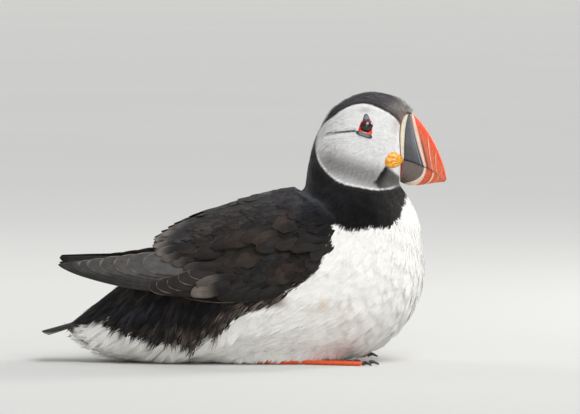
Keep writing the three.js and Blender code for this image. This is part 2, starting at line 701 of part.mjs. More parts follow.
function footPieces() {
  const joint = new THREE.Vector3(FOOT.jointX, FOOT.y, 1.35);
  const heel = new THREE.Vector3(FOOT.heelX, FOOT.y - 3, 1.9);
  const toes = [
    { angle: -9, length: 30, size: 0.85 },   // inner
    { angle: 3, length: 38.5, size: 1 },     // middle
    { angle: 16, length: 36.5, size: 0.95 }, // outer
  ];
  const ends = toes.map(({ angle, length }) => {
    const heading = rad(angle + FOOT.splay);
    return new THREE.Vector3(joint.x + length * Math.cos(heading),
      joint.y + length * Math.sin(heading), 1.15);
  });
  let foot = groundTube(joint, ends[1], FOOT.toeRadius * 1.15, FOOT.toeRadius * 0.8);
  for (const k of [0, 2]) {
    foot = foot.add(groundTube(joint, ends[k], FOOT.toeRadius * 1.1, FOOT.toeRadius * 0.78));
  }
  for (const k of [0, 1]) {
    const outline = [[joint.x - 1, joint.y]];
    for (let i = 0; i <= 6; i++) {
      const s = i / 6;
      const notch = 0.16 * Math.sin(Math.PI * s);
      const p = ends[k].clone().lerp(ends[k + 1], s).lerp(joint, notch + 0.03);
      outline.push([p.x, p.y]);
    }
    const shape = new THREE.Shape(outline.map(([x, y]) => new THREE.Vector2(x, y)));
    foot = foot.add(solid(new THREE.ExtrudeGeometry(shape,
      { depth: FOOT.webThickness, bevelEnabled: false })));
  }
  const tarsusEnd = joint.clone().add(new THREE.Vector3(-1.9, -0.2, 0.2));
  const tarsus = groundTube(heel, tarsusEnd, 2.3, 1.9, 0.95);
  foot = largest(foot.subtract(box(-20, joint.x - 1.6, 0, 60, -5, 10)));
  const toeNames = ['inner', 'middle', 'outer'];
  const claws = toes.map(({ angle, size }, k) => {
    const heading = rad(angle + FOOT.splay);
    const start = ends[k].clone().add(
      new THREE.Vector3(Math.cos(heading), Math.sin(heading), 0).multiplyScalar(0.35));
    return { name: `claw_${toeNames[k]}`, look: CLAW_BLACK, body: claw(start, heading, size) };
  });
  const left = [
    { name: 'tarsus', look: FOOT_ORANGE, body: tarsus },
    { name: 'foot', look: FOOT_ORANGE, body: foot },
    ...claws,
  ];
  return left.flatMap(({ name, look, body }) => [
    { name: `${name}_left`, look, body },
    { name: `${name}_right`, look, body: mirrored(body) },
  ]);
}

/** The pocket in the belly plumage that one foot lies in. */
function footRoom() {
  const room = groundTube(new THREE.Vector3(FOOT.heelX - 3, FOOT.y - 3.3, 1.2),
    new THREE.Vector3(FOOT.jointX + 2, FOOT.y, 1.2), 3.6, 3.4, 1);
  const reach = 48;
  const fan = [[FOOT.jointX - 2, FOOT.y - 3], [FOOT.jointX - 2, FOOT.y + 3]];
  for (const angle of [24, 8, -8]) {
    const heading = rad(angle + FOOT.splay);
    fan.push([FOOT.jointX + reach * Math.cos(heading), FOOT.y + reach * Math.sin(heading)]);
  }
  const shape = new THREE.Shape(fan.map(([x, y]) => new THREE.Vector2(x, y)));
  const flat = new THREE.ExtrudeGeometry(shape, { depth: 4.4, bevelEnabled: false });
  flat.translate(0, 0, -1);
  return room.add(solid(flat));
}

// ---------------------------------------------------------------- assembly

function buildPuffin() {
  const grown = new Map();
  const bodies = (grow) => {
    if (!grown.has(grow)) grown.set(grow, wholeBody(grow));
    return grown.get(grow);
  };
  const whole = bodies(0);
  const probe = new THREE.Mesh(geometryOf(whole),
    new THREE.MeshBasicMaterial({ side: THREE.DoubleSide }));

  const face = facePieces(bodies, probe);
  const wings = wingPieces(bodies, probe);
  const feet = footPieces();
  const bill = billPieces();
  const tail = { name: 'tail', look: PLUMAGE_BLACK, body: tailFan(bodies) };

  let body = whole.subtract(billRoom());
  for (const { socket } of face) if (socket) body = body.subtract(socket);
  const room = footRoom();
  body = body.subtract(room).subtract(mirrored(room));
  body = body.subtract(ribCut('collar')).subtract(ribCut('throat'));
  const [trunk, ...rest] = body.decompose().sort((a, b) => b.volume() - a.volume());
  const [head, neck] = rest;

  const pieces = [
    { name: 'trunk', look: PLUMAGE_WHITE, body: trunk },
    { name: 'neck', look: PLUMAGE_BLACK, body: neck },
    { name: 'head', look: PLUMAGE_WHITE, body: head },
    tail, ...bill, ...face, ...wings, ...feet,
  ];
  const group = new THREE.Group();
  for (const { name, look, body: piece } of pieces) {
    const mesh = new THREE.Mesh(geometryOf(piece), new THREE.MeshStandardMaterial(look));
    mesh.name = name;
    group.add(mesh);
  }
  return group;
}

export default buildPuffin();
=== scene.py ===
"""Still, life-size model of an Atlantic puffin at rest on its belly.

One skin carries the whole body. Tufts of down and rows of contour feathers lie over it,
and the flight feathers, tail, bill, eyes and feet are pieces of their own.
Sizes are in millimetres until a mesh is made, in the frame of the CAD solids:
+X towards the bill, +Y the bird's left, +Z up, with the ground at z = 0.
"""
import json
import logging
import math
from dataclasses import dataclass
from enum import Enum
from functools import cache, cached_property
from typing import Callable, Iterable, Optional, Sequence

import bmesh
import bpy
import numpy as np
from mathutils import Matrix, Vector
from mathutils.bvhtree import BVHTree

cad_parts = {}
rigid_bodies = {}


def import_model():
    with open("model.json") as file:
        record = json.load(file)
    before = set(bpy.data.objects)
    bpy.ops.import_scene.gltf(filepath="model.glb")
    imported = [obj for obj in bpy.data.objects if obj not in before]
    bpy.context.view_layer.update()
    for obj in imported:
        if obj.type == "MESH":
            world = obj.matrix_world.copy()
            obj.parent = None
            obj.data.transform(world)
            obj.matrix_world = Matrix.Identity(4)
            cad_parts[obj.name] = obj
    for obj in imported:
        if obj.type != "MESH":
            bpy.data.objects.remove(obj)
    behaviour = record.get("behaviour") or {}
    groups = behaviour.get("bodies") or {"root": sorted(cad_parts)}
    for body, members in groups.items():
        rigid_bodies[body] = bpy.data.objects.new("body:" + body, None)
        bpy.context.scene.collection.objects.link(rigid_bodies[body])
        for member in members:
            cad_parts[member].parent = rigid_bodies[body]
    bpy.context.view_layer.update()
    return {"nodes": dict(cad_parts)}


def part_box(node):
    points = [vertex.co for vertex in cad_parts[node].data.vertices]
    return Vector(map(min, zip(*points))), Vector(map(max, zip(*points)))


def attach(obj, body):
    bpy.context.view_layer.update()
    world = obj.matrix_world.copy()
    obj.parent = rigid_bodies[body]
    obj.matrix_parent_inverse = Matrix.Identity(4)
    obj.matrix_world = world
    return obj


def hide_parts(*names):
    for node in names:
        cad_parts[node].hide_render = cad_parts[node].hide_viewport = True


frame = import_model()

log = logging.getLogger("puffin")

MM = 0.001
SIDES = (("right", -1), ("left", 1))
VIEW_DROP = 0.0523  # how far a place one unit off the middle plane looks lower from the side
BAKE_PATCH = 0.003  # size of the part of the skin's unwrap that one feather is given
LOWEST_SKIN, LOWEST_TUFT, LOWEST_VANE, LOWEST_CLAW = 0.25, 0.15, 0.3, 0.1  # over the ground
ROOTS_TRIED = 3.0  # roots tried on each square of a coat's spacing
Colour = tuple[float, float, float]
Points = np.ndarray


# ------------------------------------------------------------------ numbers and curves

def srgb(red: float, green: float, blue: float) -> Colour:
    """Turn a colour given as it looks on a screen, 0 to 255, into linear light.

    Args:
        red: Red, 0 to 255.
        green: Green, 0 to 255.
        blue: Blue, 0 to 255.

    Returns:
        The linear colour, 0 to 1.
    """
    return tuple((c / 255 / 12.92) if c <= 10 else ((c / 255 + 0.055) / 1.055) ** 2.4
                 for c in (red, green, blue))


def smoothstep(low: float, high: float, value: np.ndarray) -> np.ndarray:
    """Return 0 below low and 1 above high, with a smooth rise between."""
    t = np.clip((np.asarray(value, float) - low) / (high - low), 0, 1)
    return t * t * (3 - 2 * t)


def blend(base: np.ndarray, other: Sequence[float], share: np.ndarray) -> np.ndarray:
    """Mix a colour into each row of base by its share."""
    return base + (np.asarray(other, float) - base) * np.asarray(share)[..., None]


def unit(vectors: np.ndarray) -> np.ndarray:
    """Return the rows of an array at length 1."""
    return vectors / np.maximum(np.linalg.norm(vectors, axis=-1, keepdims=True), 1e-9)


def spot(flat: Points, middle: Sequence[float], size: Sequence[float]) -> np.ndarray:
    """Return 1 at a place in side view, falling softly to 0 all round it."""
    return np.exp(-(((flat[:, 0] - middle[0]) / size[0]) ** 2
                    + ((flat[:, 1] - middle[1]) / size[1]) ** 2))


def band(values: np.ndarray, middle: float, width: float) -> np.ndarray:
    """Return 1 at the middle value, falling softly to 0 on both sides of it."""
    return np.exp(-((values - middle) / width) ** 2)


def even_tint(colour: Colour, *shape: int) -> np.ndarray:
    """Return one colour for each place of an array of the given shape."""
    return np.tile(np.asarray(colour, float), (*shape, 1))


def bezier(points: Sequence[Sequence[float]], t: np.ndarray) -> np.ndarray:
    """Evaluate a quadratic or cubic Bezier curve.

    Args:
        points: Three or four control points.
        t: Places along the curve, 0 to 1.

    Returns:
        One row for each place.
    """
    p = [np.asarray(q, float) for q in points]
    t = np.asarray(t, float)[..., None]
    s = 1 - t
    if len(p) == 3:
        return s * s * p[0] + 2 * s * t * p[1] + t * t * p[2]
    return s**3 * p[0] + 3 * s * s * t * p[1] + 3 * s * t * t * p[2] + t**3 * p[3]


def rounded(outline: Sequence[Sequence[float]], passes: int = 3) -> Points:
    """Round a closed outline's corners by cutting them several times."""
    line = np.asarray(outline, float)
    for _ in range(passes):
        following = np.roll(line, -1, axis=0)
        line = np.stack([0.75 * line + 0.25 * following,
                         0.25 * line + 0.75 * following], axis=1).reshape(-1, 2)
    return line


def outline_distance(outline: Sequence[Sequence[float]], places: Points) -> np.ndarray:
    """Signed distance from each place to a closed outline, negative inside it.

    Args:
        outline: Corners in order, [x, z].
        places: One [x, z] row for each place.

    Returns:
        One distance for each place.
    """
    corners = np.asarray(outline, float)
    following = np.roll(corners, -1, axis=0)
    nearest = np.full(len(places), np.inf)
    inside = np.zeros(len(places), bool)
    for a, b in zip(corners, following):
        edge = b - a
        share = np.clip(((places - a) @ edge) / (edge @ edge), 0, 1)
        nearest = np.minimum(nearest, np.linalg.norm(places - a - share[:, None] * edge, axis=1))
        crosses = (a[1] > places[:, 1]) != (b[1] > places[:, 1])
        rise = edge[1] if abs(edge[1]) > 1e-9 else 1e-9
        inside ^= crosses & (places[:, 0] < a[0] + (places[:, 1] - a[1]) / rise * edge[0])
    return np.where(inside, -nearest, nearest)


def line_distance(a: Sequence[float], b: Sequence[float], places: Points) -> np.ndarray:
    """Distance from each [x, z] place to the straight line between two points."""
    a, b = np.asarray(a, float), np.asarray(b, float)
    share = np.clip(((places - a) @ (b - a)) / ((b - a) @ (b - a)), 0, 1)
    return np.linalg.norm(places - a - share[:, None] * (b - a), axis=1)


def ripple(places: Points, size: float, seed: int) -> np.ndarray:
    """Smooth, seeded noise between about -1 and 1.

    Args:
        places: One row for each place, in millimetres.
        size: Size of the noise's features, in millimetres.
        seed: Seed of its waves.

    Returns:
        One value for each place.
    """
    rng = np.random.default_rng(seed)
    total = np.zeros(len(places))
    for _ in range(7):
        wave = unit(rng.normal(size=(1, places.shape[1])))[0] * rng.uniform(0.6, 1.7) * 2 * math.pi
        total += np.sin(places @ (wave / (2.2 * size)) + rng.uniform(0, 2 * math.pi))
    return total / 3.2


# ------------------------------------------------------------------ meshes

def make_object(name: str, points: Points, faces: Iterable[Sequence[int]],
                tint: Optional[np.ndarray] = None) -> bpy.types.Object:
    """Make a smooth-shaded mesh object from points in millimetres.

    Args:
        name: The object's name.
        points: One row for each vertex, in millimetres.
        faces: Vertex numbers of each face, turning left when seen from outside.
        tint: A colour for each vertex, kept as the attribute "tint".

    Returns:
        The new object, linked to the scene.
    """
    mesh = bpy.data.meshes.new(name)
    mesh.from_pydata((np.asarray(points, float) * MM).tolist(), [], [tuple(f) for f in faces])
    mesh.shade_smooth()
    if tint is not None:
        paint(mesh, "tint", tint)
    return link_new(name, mesh)


def turn_out(obj: bpy.types.Object) -> None:
    """Turn the faces of a closed mesh outwards without moving or joining vertices."""
    work = bmesh.new()
    work.from_mesh(obj.data)
    bmesh.ops.recalc_face_normals(work, faces=work.faces)
    work.to_mesh(obj.data)
    work.free()
    obj.data.shade_smooth()


def closed_piece(name: str, points: Points, faces: Iterable[Sequence[int]], tint: np.ndarray,
                 finish: Optional[object]) -> bpy.types.Object:
    """Make a closed piece with its faces turned outwards.

    Args:
        name: The piece's name.
        points: One row for each vertex, in millimetres.
        faces: Vertex numbers of each face.
        tint: A colour for each vertex.
        finish: Its finish, if it has one.

    Returns:
        The piece's object.
    """
    made = make_object(name, points, faces, tint)
    turn_out(made)
    if finish is not None:
        made.data.materials.append(finish.material())
    return made


def link_new(name: str, data: bpy.types.ID) -> bpy.types.Object:
    """Make an object of a mesh, a light or a camera, and link it to the scene."""
    made = bpy.data.objects.new(name, data)
    bpy.context.scene.collection.objects.link(made)
    return made


def paint(mesh: bpy.types.Mesh, name: str, colours: np.ndarray) -> None:
    """Store a colour for each vertex of a mesh.

    Args:
        mesh: The mesh.
        name: The attribute's name.
        colours: One [red, green, blue] row for each vertex, linear.
    """
    layer = mesh.attributes.get(name) or mesh.attributes.new(name, "FLOAT_COLOR", "POINT")
    full = np.ones((len(mesh.vertices), 4), np.float32)
    full[:, :3] = colours
    layer.data.foreach_set("color", full.ravel())


def store(mesh: bpy.types.Mesh, name: str, values: np.ndarray) -> None:
    """Store a number or a vector for each vertex of a mesh."""
    kind, key = ("FLOAT", "value") if np.ndim(values) == 1 else ("FLOAT_VECTOR", "vector")
    layer = mesh.attributes.new(name, kind, "POINT")
    layer.data.foreach_set(key, np.asarray(values, np.float32).ravel())


def read_all(items: Sequence, name: str, width: int = 1, kind: type = np.float32) -> np.ndarray:
    """Read one property of many mesh elements.

    Args:
        items: The elements, or the values of an attribute.
        name: The property.
        width: How many numbers it has.
        kind: Type of the numbers.

    Returns:
        One number, or one row of them, for each element.
    """
    flat = np.empty(len(items) * width, kind)
    items.foreach_get(name, flat)
    return flat.reshape(-1, width) if width > 1 else flat


def vertex_array(mesh: bpy.types.Mesh) -> Points:
    """Return a mesh's vertices in millimetres, one row each."""
    return read_all(mesh.vertices, "co", 3).astype(float) / MM


def move_vertices(mesh: bpy.types.Mesh, places: Points) -> None:
    """Put a mesh's vertices at places given in millimetres, one row each."""
    mesh.vertices.foreach_set("co", (places * MM).astype(np.float32).ravel())
    mesh.update()


def grid_faces(rows: int, columns: int, closed: bool = False, start: int = 0) -> list[tuple]:
    """Faces of a grid of vertices, numbered row by row.

    Args:
        rows: Number of rows of vertices.
        columns: Number of vertices in a row.
        closed: Whether each row is a closed ring.
        start: Number of the first vertex.

    Returns:
        Four vertex numbers for each face.
    """
    faces = []
    for i in range(rows - 1):
        for j in range(columns if closed else columns - 1):
            k = (j + 1) % columns
            a, b = start + i * columns + j, start + i * columns + k
            faces.append((a, b, b + columns, a + columns))
    return faces


def settle(obj: bpy.types.Object) -> bpy.types.Object:
    """Apply an object's modifiers by baking its evaluated shape into a plain mesh."""
    evaluated = obj.evaluated_get(bpy.context.evaluated_depsgraph_get())
    mesh = bpy.data.meshes.new_from_object(evaluated)
    obj.modifiers.clear()
    old, obj.data = obj.data, mesh
    bpy.data.meshes.remove(old)
    mesh.name = obj.name
    return obj


def remesh(obj: bpy.types.Object, voxel: float, rounds: int) -> None:
    """Give an object one even surface and smooth it.

    Args:
        obj: The object, closed or made of closed shapes.
        voxel: Size of the new faces, in millimetres.
        rounds: How often the surface is smoothed.
    """
    whole = obj.modifiers.new("whole", "REMESH")
    whole.mode = "VOXEL"
    whole.voxel_size = voxel * MM
    smooth = obj.modifiers.new("soft", "SMOOTH")
    smooth.factor = 0.5
    smooth.iterations = rounds
    settle(obj)
    obj.data.shade_smooth()


class Carrier:
    """The outside of some CAD solids or of the skin, for other pieces to lie on."""

    def __init__(self, *objects: bpy.types.Object) -> None:
        """Gather the faces of one or more objects."""
        points, faces = [], []
        for obj in objects:
            start = len(points)
            points += [tuple(v.co / MM) for v in obj.data.vertices]
            faces += [tuple(start + i for i in p.vertices) for p in obj.data.polygons]
        self.tree = BVHTree.FromPolygons(points, faces)

    @classmethod
    def of_nodes(cls, *names: str) -> "Carrier":
        """Gather the faces of CAD nodes, by name."""
        return cls(*(frame["nodes"][name] for name in names))

    def beside(self, x: float, z: float, side: int) -> Optional[tuple[Vector, Vector]]:
        """Find the surface seen from one side of the bird.

        Args:
            x: Place along the bird.
            z: Height.
            side: -1 for the bird's right side, 1 for its left.

        Returns:
            The point and its outward normal, or None where nothing is there.
        """
        hit, normal, _, _ = self.tree.ray_cast(Vector((x, side * 150, z)), Vector((0, -side, 0)))
        return (hit, normal) if hit is not None and hit.y * side > -1 else None

    def nearest(self, place: Sequence[float]) -> tuple[Vector, Vector, float]:
        """Find the nearest surface point, its normal and its distance."""
        hit, normal, _, distance = self.tree.find_nearest(Vector(place))
        return hit, normal, distance


class SkinMap:
    """Where a place beside the body falls on the skin's unwrap."""

    def __init__(self, skin: bpy.types.Object) -> None:
        """Gather the skin's faces and the unwrapped place of each."""
        self.tree = Carrier(skin).tree
        spots = read_all(skin.data.uv_layers["unwrap"].data, "uv", 2)
        self.spots = spots[[p.loop_start for p in skin.data.polygons]]

    @classmethod
    @cache
    def of_skin(cls) -> "SkinMap":
        """Return the map of the finished skin, made once."""
        return cls(bpy.data.objects["skin"])

    def at(self, place: Sequence[float]) -> np.ndarray:
        """Return the unwrapped place of the skin nearest to a point."""
        return self.spots[self.tree.find_nearest(Vector(place))[2]]


# ------------------------------------------------------------------ finishes

def add_node(tree: bpy.types.NodeTree, kind: str, inputs: Optional[dict],
             settings: dict) -> bpy.types.Node:
    """Add a node to a tree.

    Args:
        tree: The tree.
        kind: The node's type.
        inputs: Values or linked sockets, by the input's name or number, if any.
        settings: The node's own settings.

    Returns:
        The new node.
    """
    made = tree.nodes.new(kind)
    for key, value in settings.items():
        setattr(made, key, value)
    for key, value in (inputs or {}).items():
        if isinstance(value, bpy.types.NodeSocket):
            tree.links.new(value, made.inputs[key])
        else:
            made.inputs[key].default_value = value
    return made


class Shader:
    """A material's node tree under construction."""

    def __init__(self, name: str) -> None:
        """Start a material with an empty tree."""
        self.material = bpy.data.materials.new(name)
        self.material.use_nodes = True
        self.tree = self.material.node_tree
        self.tree.nodes.clear()

    def node(self, kind: str, inputs: Optional[dict] = None, **settings) -> bpy.types.Node:
        """Add a node with its inputs and its own settings."""
        return add_node(self.tree, kind, inputs, settings)

    def read(self, name: str, output: str = "Fac") -> bpy.types.NodeSocket:
        """Read a mesh attribute, as a number or by the output "Color" as a colour."""
        return self.node("ShaderNodeAttribute", attribute_name=name).outputs[output]

    def noise(self, scale: float, detail: float = 3.0,
              stretch: Sequence[float] = (1, 1, 1)) -> bpy.types.NodeSocket:
        """Add noise on object coordinates, its scale in features per metre."""
        place = self.node("ShaderNodeTexCoord").outputs["Object"]
        turned = self.node("ShaderNodeMapping", {"Vector": place, "Scale": stretch})
        values = {"Vector": turned.outputs[0], "Scale": scale, "Detail": detail, "Roughness": 0.6}
        return self.node("ShaderNodeTexNoise", values).outputs["Fac"]

    def mix(self, share: object, first: object, second: object,
            mode: str = "MIX") -> bpy.types.NodeSocket:
        """Mix two colours and return the result."""
        made = self.node("ShaderNodeMix", data_type="RGBA", blend_type=mode)
        for key, value in ((0, share), (6, first), (7, second)):
            if isinstance(value, bpy.types.NodeSocket):
                self.tree.links.new(value, made.inputs[key])
            elif key:
                made.inputs[key].default_value = (*value[:3], 1)
            else:
                made.inputs[key].default_value = value
        return made.outputs[2]

    def shaded(self, colour: object, lightness: bpy.types.NodeSocket) -> bpy.types.NodeSocket:
        """Multiply a colour by a lightness and return the result."""
        grey = self.node("ShaderNodeCombineColor", dict.fromkeys(range(3), lightness))
        return self.mix(1.0, colour, grey.outputs[0], "MULTIPLY")

    def math(self, operation: str, first: object, second: object = 0.0) -> bpy.types.NodeSocket:
        """Combine two numbers and return the result."""
        return self.node("ShaderNodeMath", {0: first, 1: second}, operation=operation).outputs[0]

    def ramp(self, value: bpy.types.NodeSocket, low: float, high: float,
             start: float = 0.0, end: float = 1.0) -> bpy.types.NodeSocket:
        """Map a range of values to another, clamped."""
        made = self.node("ShaderNodeMapRange", {0: value, 1: low, 2: high, 3: start, 4: end})
        return made.outputs[0]

    def finish(self, colour: bpy.types.NodeSocket, roughness: object, height: object = None,
               relief: float = 0.0, **sockets) -> bpy.types.Material:
        """Close the tree with a principled shader.

        Args:
            colour: The base colour.
            roughness: A value or a linked socket.
            height: A height for bumps, if any.
            relief: How deep the bumps are, in millimetres.
            **sockets: Constant values for the shader's other sockets, with _ for a space.

        Returns:
            The finished material.
        """
        shader = self.node("ShaderNodeBsdfPrincipled",
                           {"Base Color": colour, "Roughness": roughness})
        for key, value in sockets.items():
            shader.inputs[key.replace("_", " ")].default_value = value
        if height is not None:
            bump = self.node("ShaderNodeBump",
                             {"Height": height, "Strength": 1.0, "Distance": relief * MM})
            self.tree.links.new(bump.outputs[0], shader.inputs["Normal"])
        output = self.node("ShaderNodeOutputMaterial")
        self.tree.links.new(shader.outputs[0], output.inputs[0])
        return self.material


@dataclass(frozen=True)
class DownFinish:
    """Soft plumage: the markings' own colour, a little different from tuft to tuft."""

    name: str
    roughness: float = 0.8
    sheen: float = 0.2
    specular: float = 0.25
    tone_low: float = 0.86
    tone_high: float = 1.06
    tone_from: float = 0.0
    pale_gain: float = 1.0
    root_shade: float = 0.85

    def material(self) -> bpy.types.Material:
        """Build the material."""
        shader = Shader(self.name)
        tint = shader.read("tint", "Color")
        tone = shader.ramp(shader.read("tone"), self.tone_from, 1, self.tone_low, self.tone_high)
        along = shader.ramp(shader.read("along"), 0, 0.6, self.root_shade, 1.0)
        speck = shader.ramp(shader.noise(900.0), 0.3, 0.7, 0.93, 1.05)
        lightness = shader.node("ShaderNodeSeparateColor", {0: tint}).outputs[0]
        gain = shader.math("MULTIPLY", shader.math("SUBTRACT", tone, 1.0),
                           shader.ramp(lightness, 0.1, 0.5, 1.0, min(1.0, self.pale_gain)))
        tone = shader.math("ADD", gain, 1.0)
        share = shader.math("MULTIPLY", shader.math("MULTIPLY", tone, along), speck)
        colour = shader.shaded(tint, share)
        return shader.finish(colour, self.roughness, Sheen_Weight=self.sheen,
                             Sheen_Roughness=0.5, Specular_IOR_Level=self.specular)


@dataclass(frozen=True)
class SkinFinish:
    """The skin under the plumage, in the plumage's colours, a little darker."""

    name: str = "plumage_skin"

    def material(self) -> bpy.types.Material:
        """Build the material."""
        shader = Shader(self.name)
        tint = shader.read("tint", "Color")
        streak = shader.noise(500.0, 4.0, (0.35, 1, 1))
        shade = shader.ramp(streak, 0.3, 0.7, 0.78, 0.98)
        colour = shader.shaded(tint, shade)
        return shader.finish(colour, 0.85, streak, 0.3, Specular_IOR_Level=0.2,
                             Sheen_Weight=0.15)


@dataclass(frozen=True)
class VaneFinish:
    """A feather with a smooth vane: fine slanting barbs, a shaft and a paler edge."""

    name: str
    edge_colour: Colour
    edge_share: float = 0.6
    roughness: float = 0.55
    sheen: float = 0.06
    barb_relief: float = 0.04

    def material(self) -> bpy.types.Material:
        """Build the material. along runs from root to tip, across from side to side."""
        shader = Shader(self.name)
        tint = shader.read("tint", "Color")
        along = shader.read("along")
        across = shader.read("across")
        tone = shader.ramp(shader.read("tone"), 0, 1, 0.55, 1.45)
        from_shaft = shader.math("ABSOLUTE", across)
        slant = shader.math("SUBTRACT", along, shader.math("MULTIPLY", from_shaft, 0.32))
        barbs = shader.math("SINE", shader.math("MULTIPLY", slant, 190.0))
        patchy = shader.noise(260.0, 4.0)
        shade = shader.math("MULTIPLY", tone, shader.ramp(barbs, -1, 1, 0.86, 1.08))
        shade = shader.math("MULTIPLY", shade, shader.ramp(patchy, 0.3, 0.7, 0.75, 1.2))
        colour = shader.shaded(tint, shade)
        rim = shader.math("MAXIMUM", shader.ramp(from_shaft, 0.88, 0.99),
                          shader.ramp(along, 0.97, 1.0))
        past = shader.math("SUBTRACT", along, shader.read("rim"))
        rim = shader.math("MULTIPLY", rim, shader.ramp(past, 0.0, 0.14))
        kept = shader.ramp(patchy, 0.35, 0.6, 0.35 * self.edge_share, self.edge_share)
        rim = shader.math("MULTIPLY", rim, kept)
        colour = shader.mix(rim, colour, self.edge_colour)
        shaft = shader.ramp(from_shaft, 0.0, 0.05, 0.5, 0.0)
        colour = shader.mix(shaft, colour, srgb(22, 19, 18))
        height = shader.math("ADD", barbs, shader.math("MULTIPLY", shaft, 2.0))
        return shader.finish(colour, self.roughness, height, self.barb_relief,
                             Sheen_Weight=self.sheen, Sheen_Roughness=0.45,
                             Specular_IOR_Level=0.2)


@dataclass(frozen=True)
class HornFinish:
    """Horn or bare skin in its painted tints, with fine grain."""

    name: str
    roughness: float = 0.38
    coat: float = 0.15
    grain: float = 1400.0
    relief: float = 0.05
    mottle: float = 0.12
    subsurface: float = 0.0

    def material(self) -> bpy.types.Material:
        """Build the material."""
        shader = Shader(self.name)
        tint = shader.read("tint", "Color")
        grain = shader.noise(self.grain, 4.0)
        blotch = shader.noise(self.grain * 0.25)
        fine, broad = (shader.ramp(marks, 0.3, 0.7, 1 - self.mottle, 1 + self.mottle)
                       for marks in (grain, blotch))
        shade = shader.math("MULTIPLY", fine, broad)
        colour = shader.shaded(tint, shade)
        rough = shader.ramp(blotch, 0.3, 0.7, self.roughness - 0.06, self.roughness + 0.08)
        return shader.finish(colour, rough, grain, self.relief, Coat_Weight=self.coat,
                             Coat_Roughness=0.25, Subsurface_Weight=self.subsurface,
                             Subsurface_Scale=0.0015)


@dataclass(frozen=True)
class WetFinish:
    """The wet surface of an eyeball."""

    name: str = "wet_eye"

    def material(self) -> bpy.types.Material:
        """Build the material."""
        shader = Shader(self.name)
        tint = shader.read("tint", "Color")
        streaks = shader.noise(2500.0, 2.0)
        shade = shader.ramp(streaks, 0.3, 0.7, 0.85, 1.15)
        colour = shader.shaded(tint, shade)
        return shader.finish(colour, 0.08, Coat_Weight=0.6, Coat_Roughness=0.03)


# ------------------------------------------------------------------ plumage markings

class Area(Enum):
    """Areas of the skin, each of which carries one kind of coat."""

    FACE = 1
    HOOD = 2
    BREAST = 3
    BELLY = 4
    VENT = 5
    FLANK = 6
    RUMP = 7
    MANTLE = 8
    COVERTS = 9


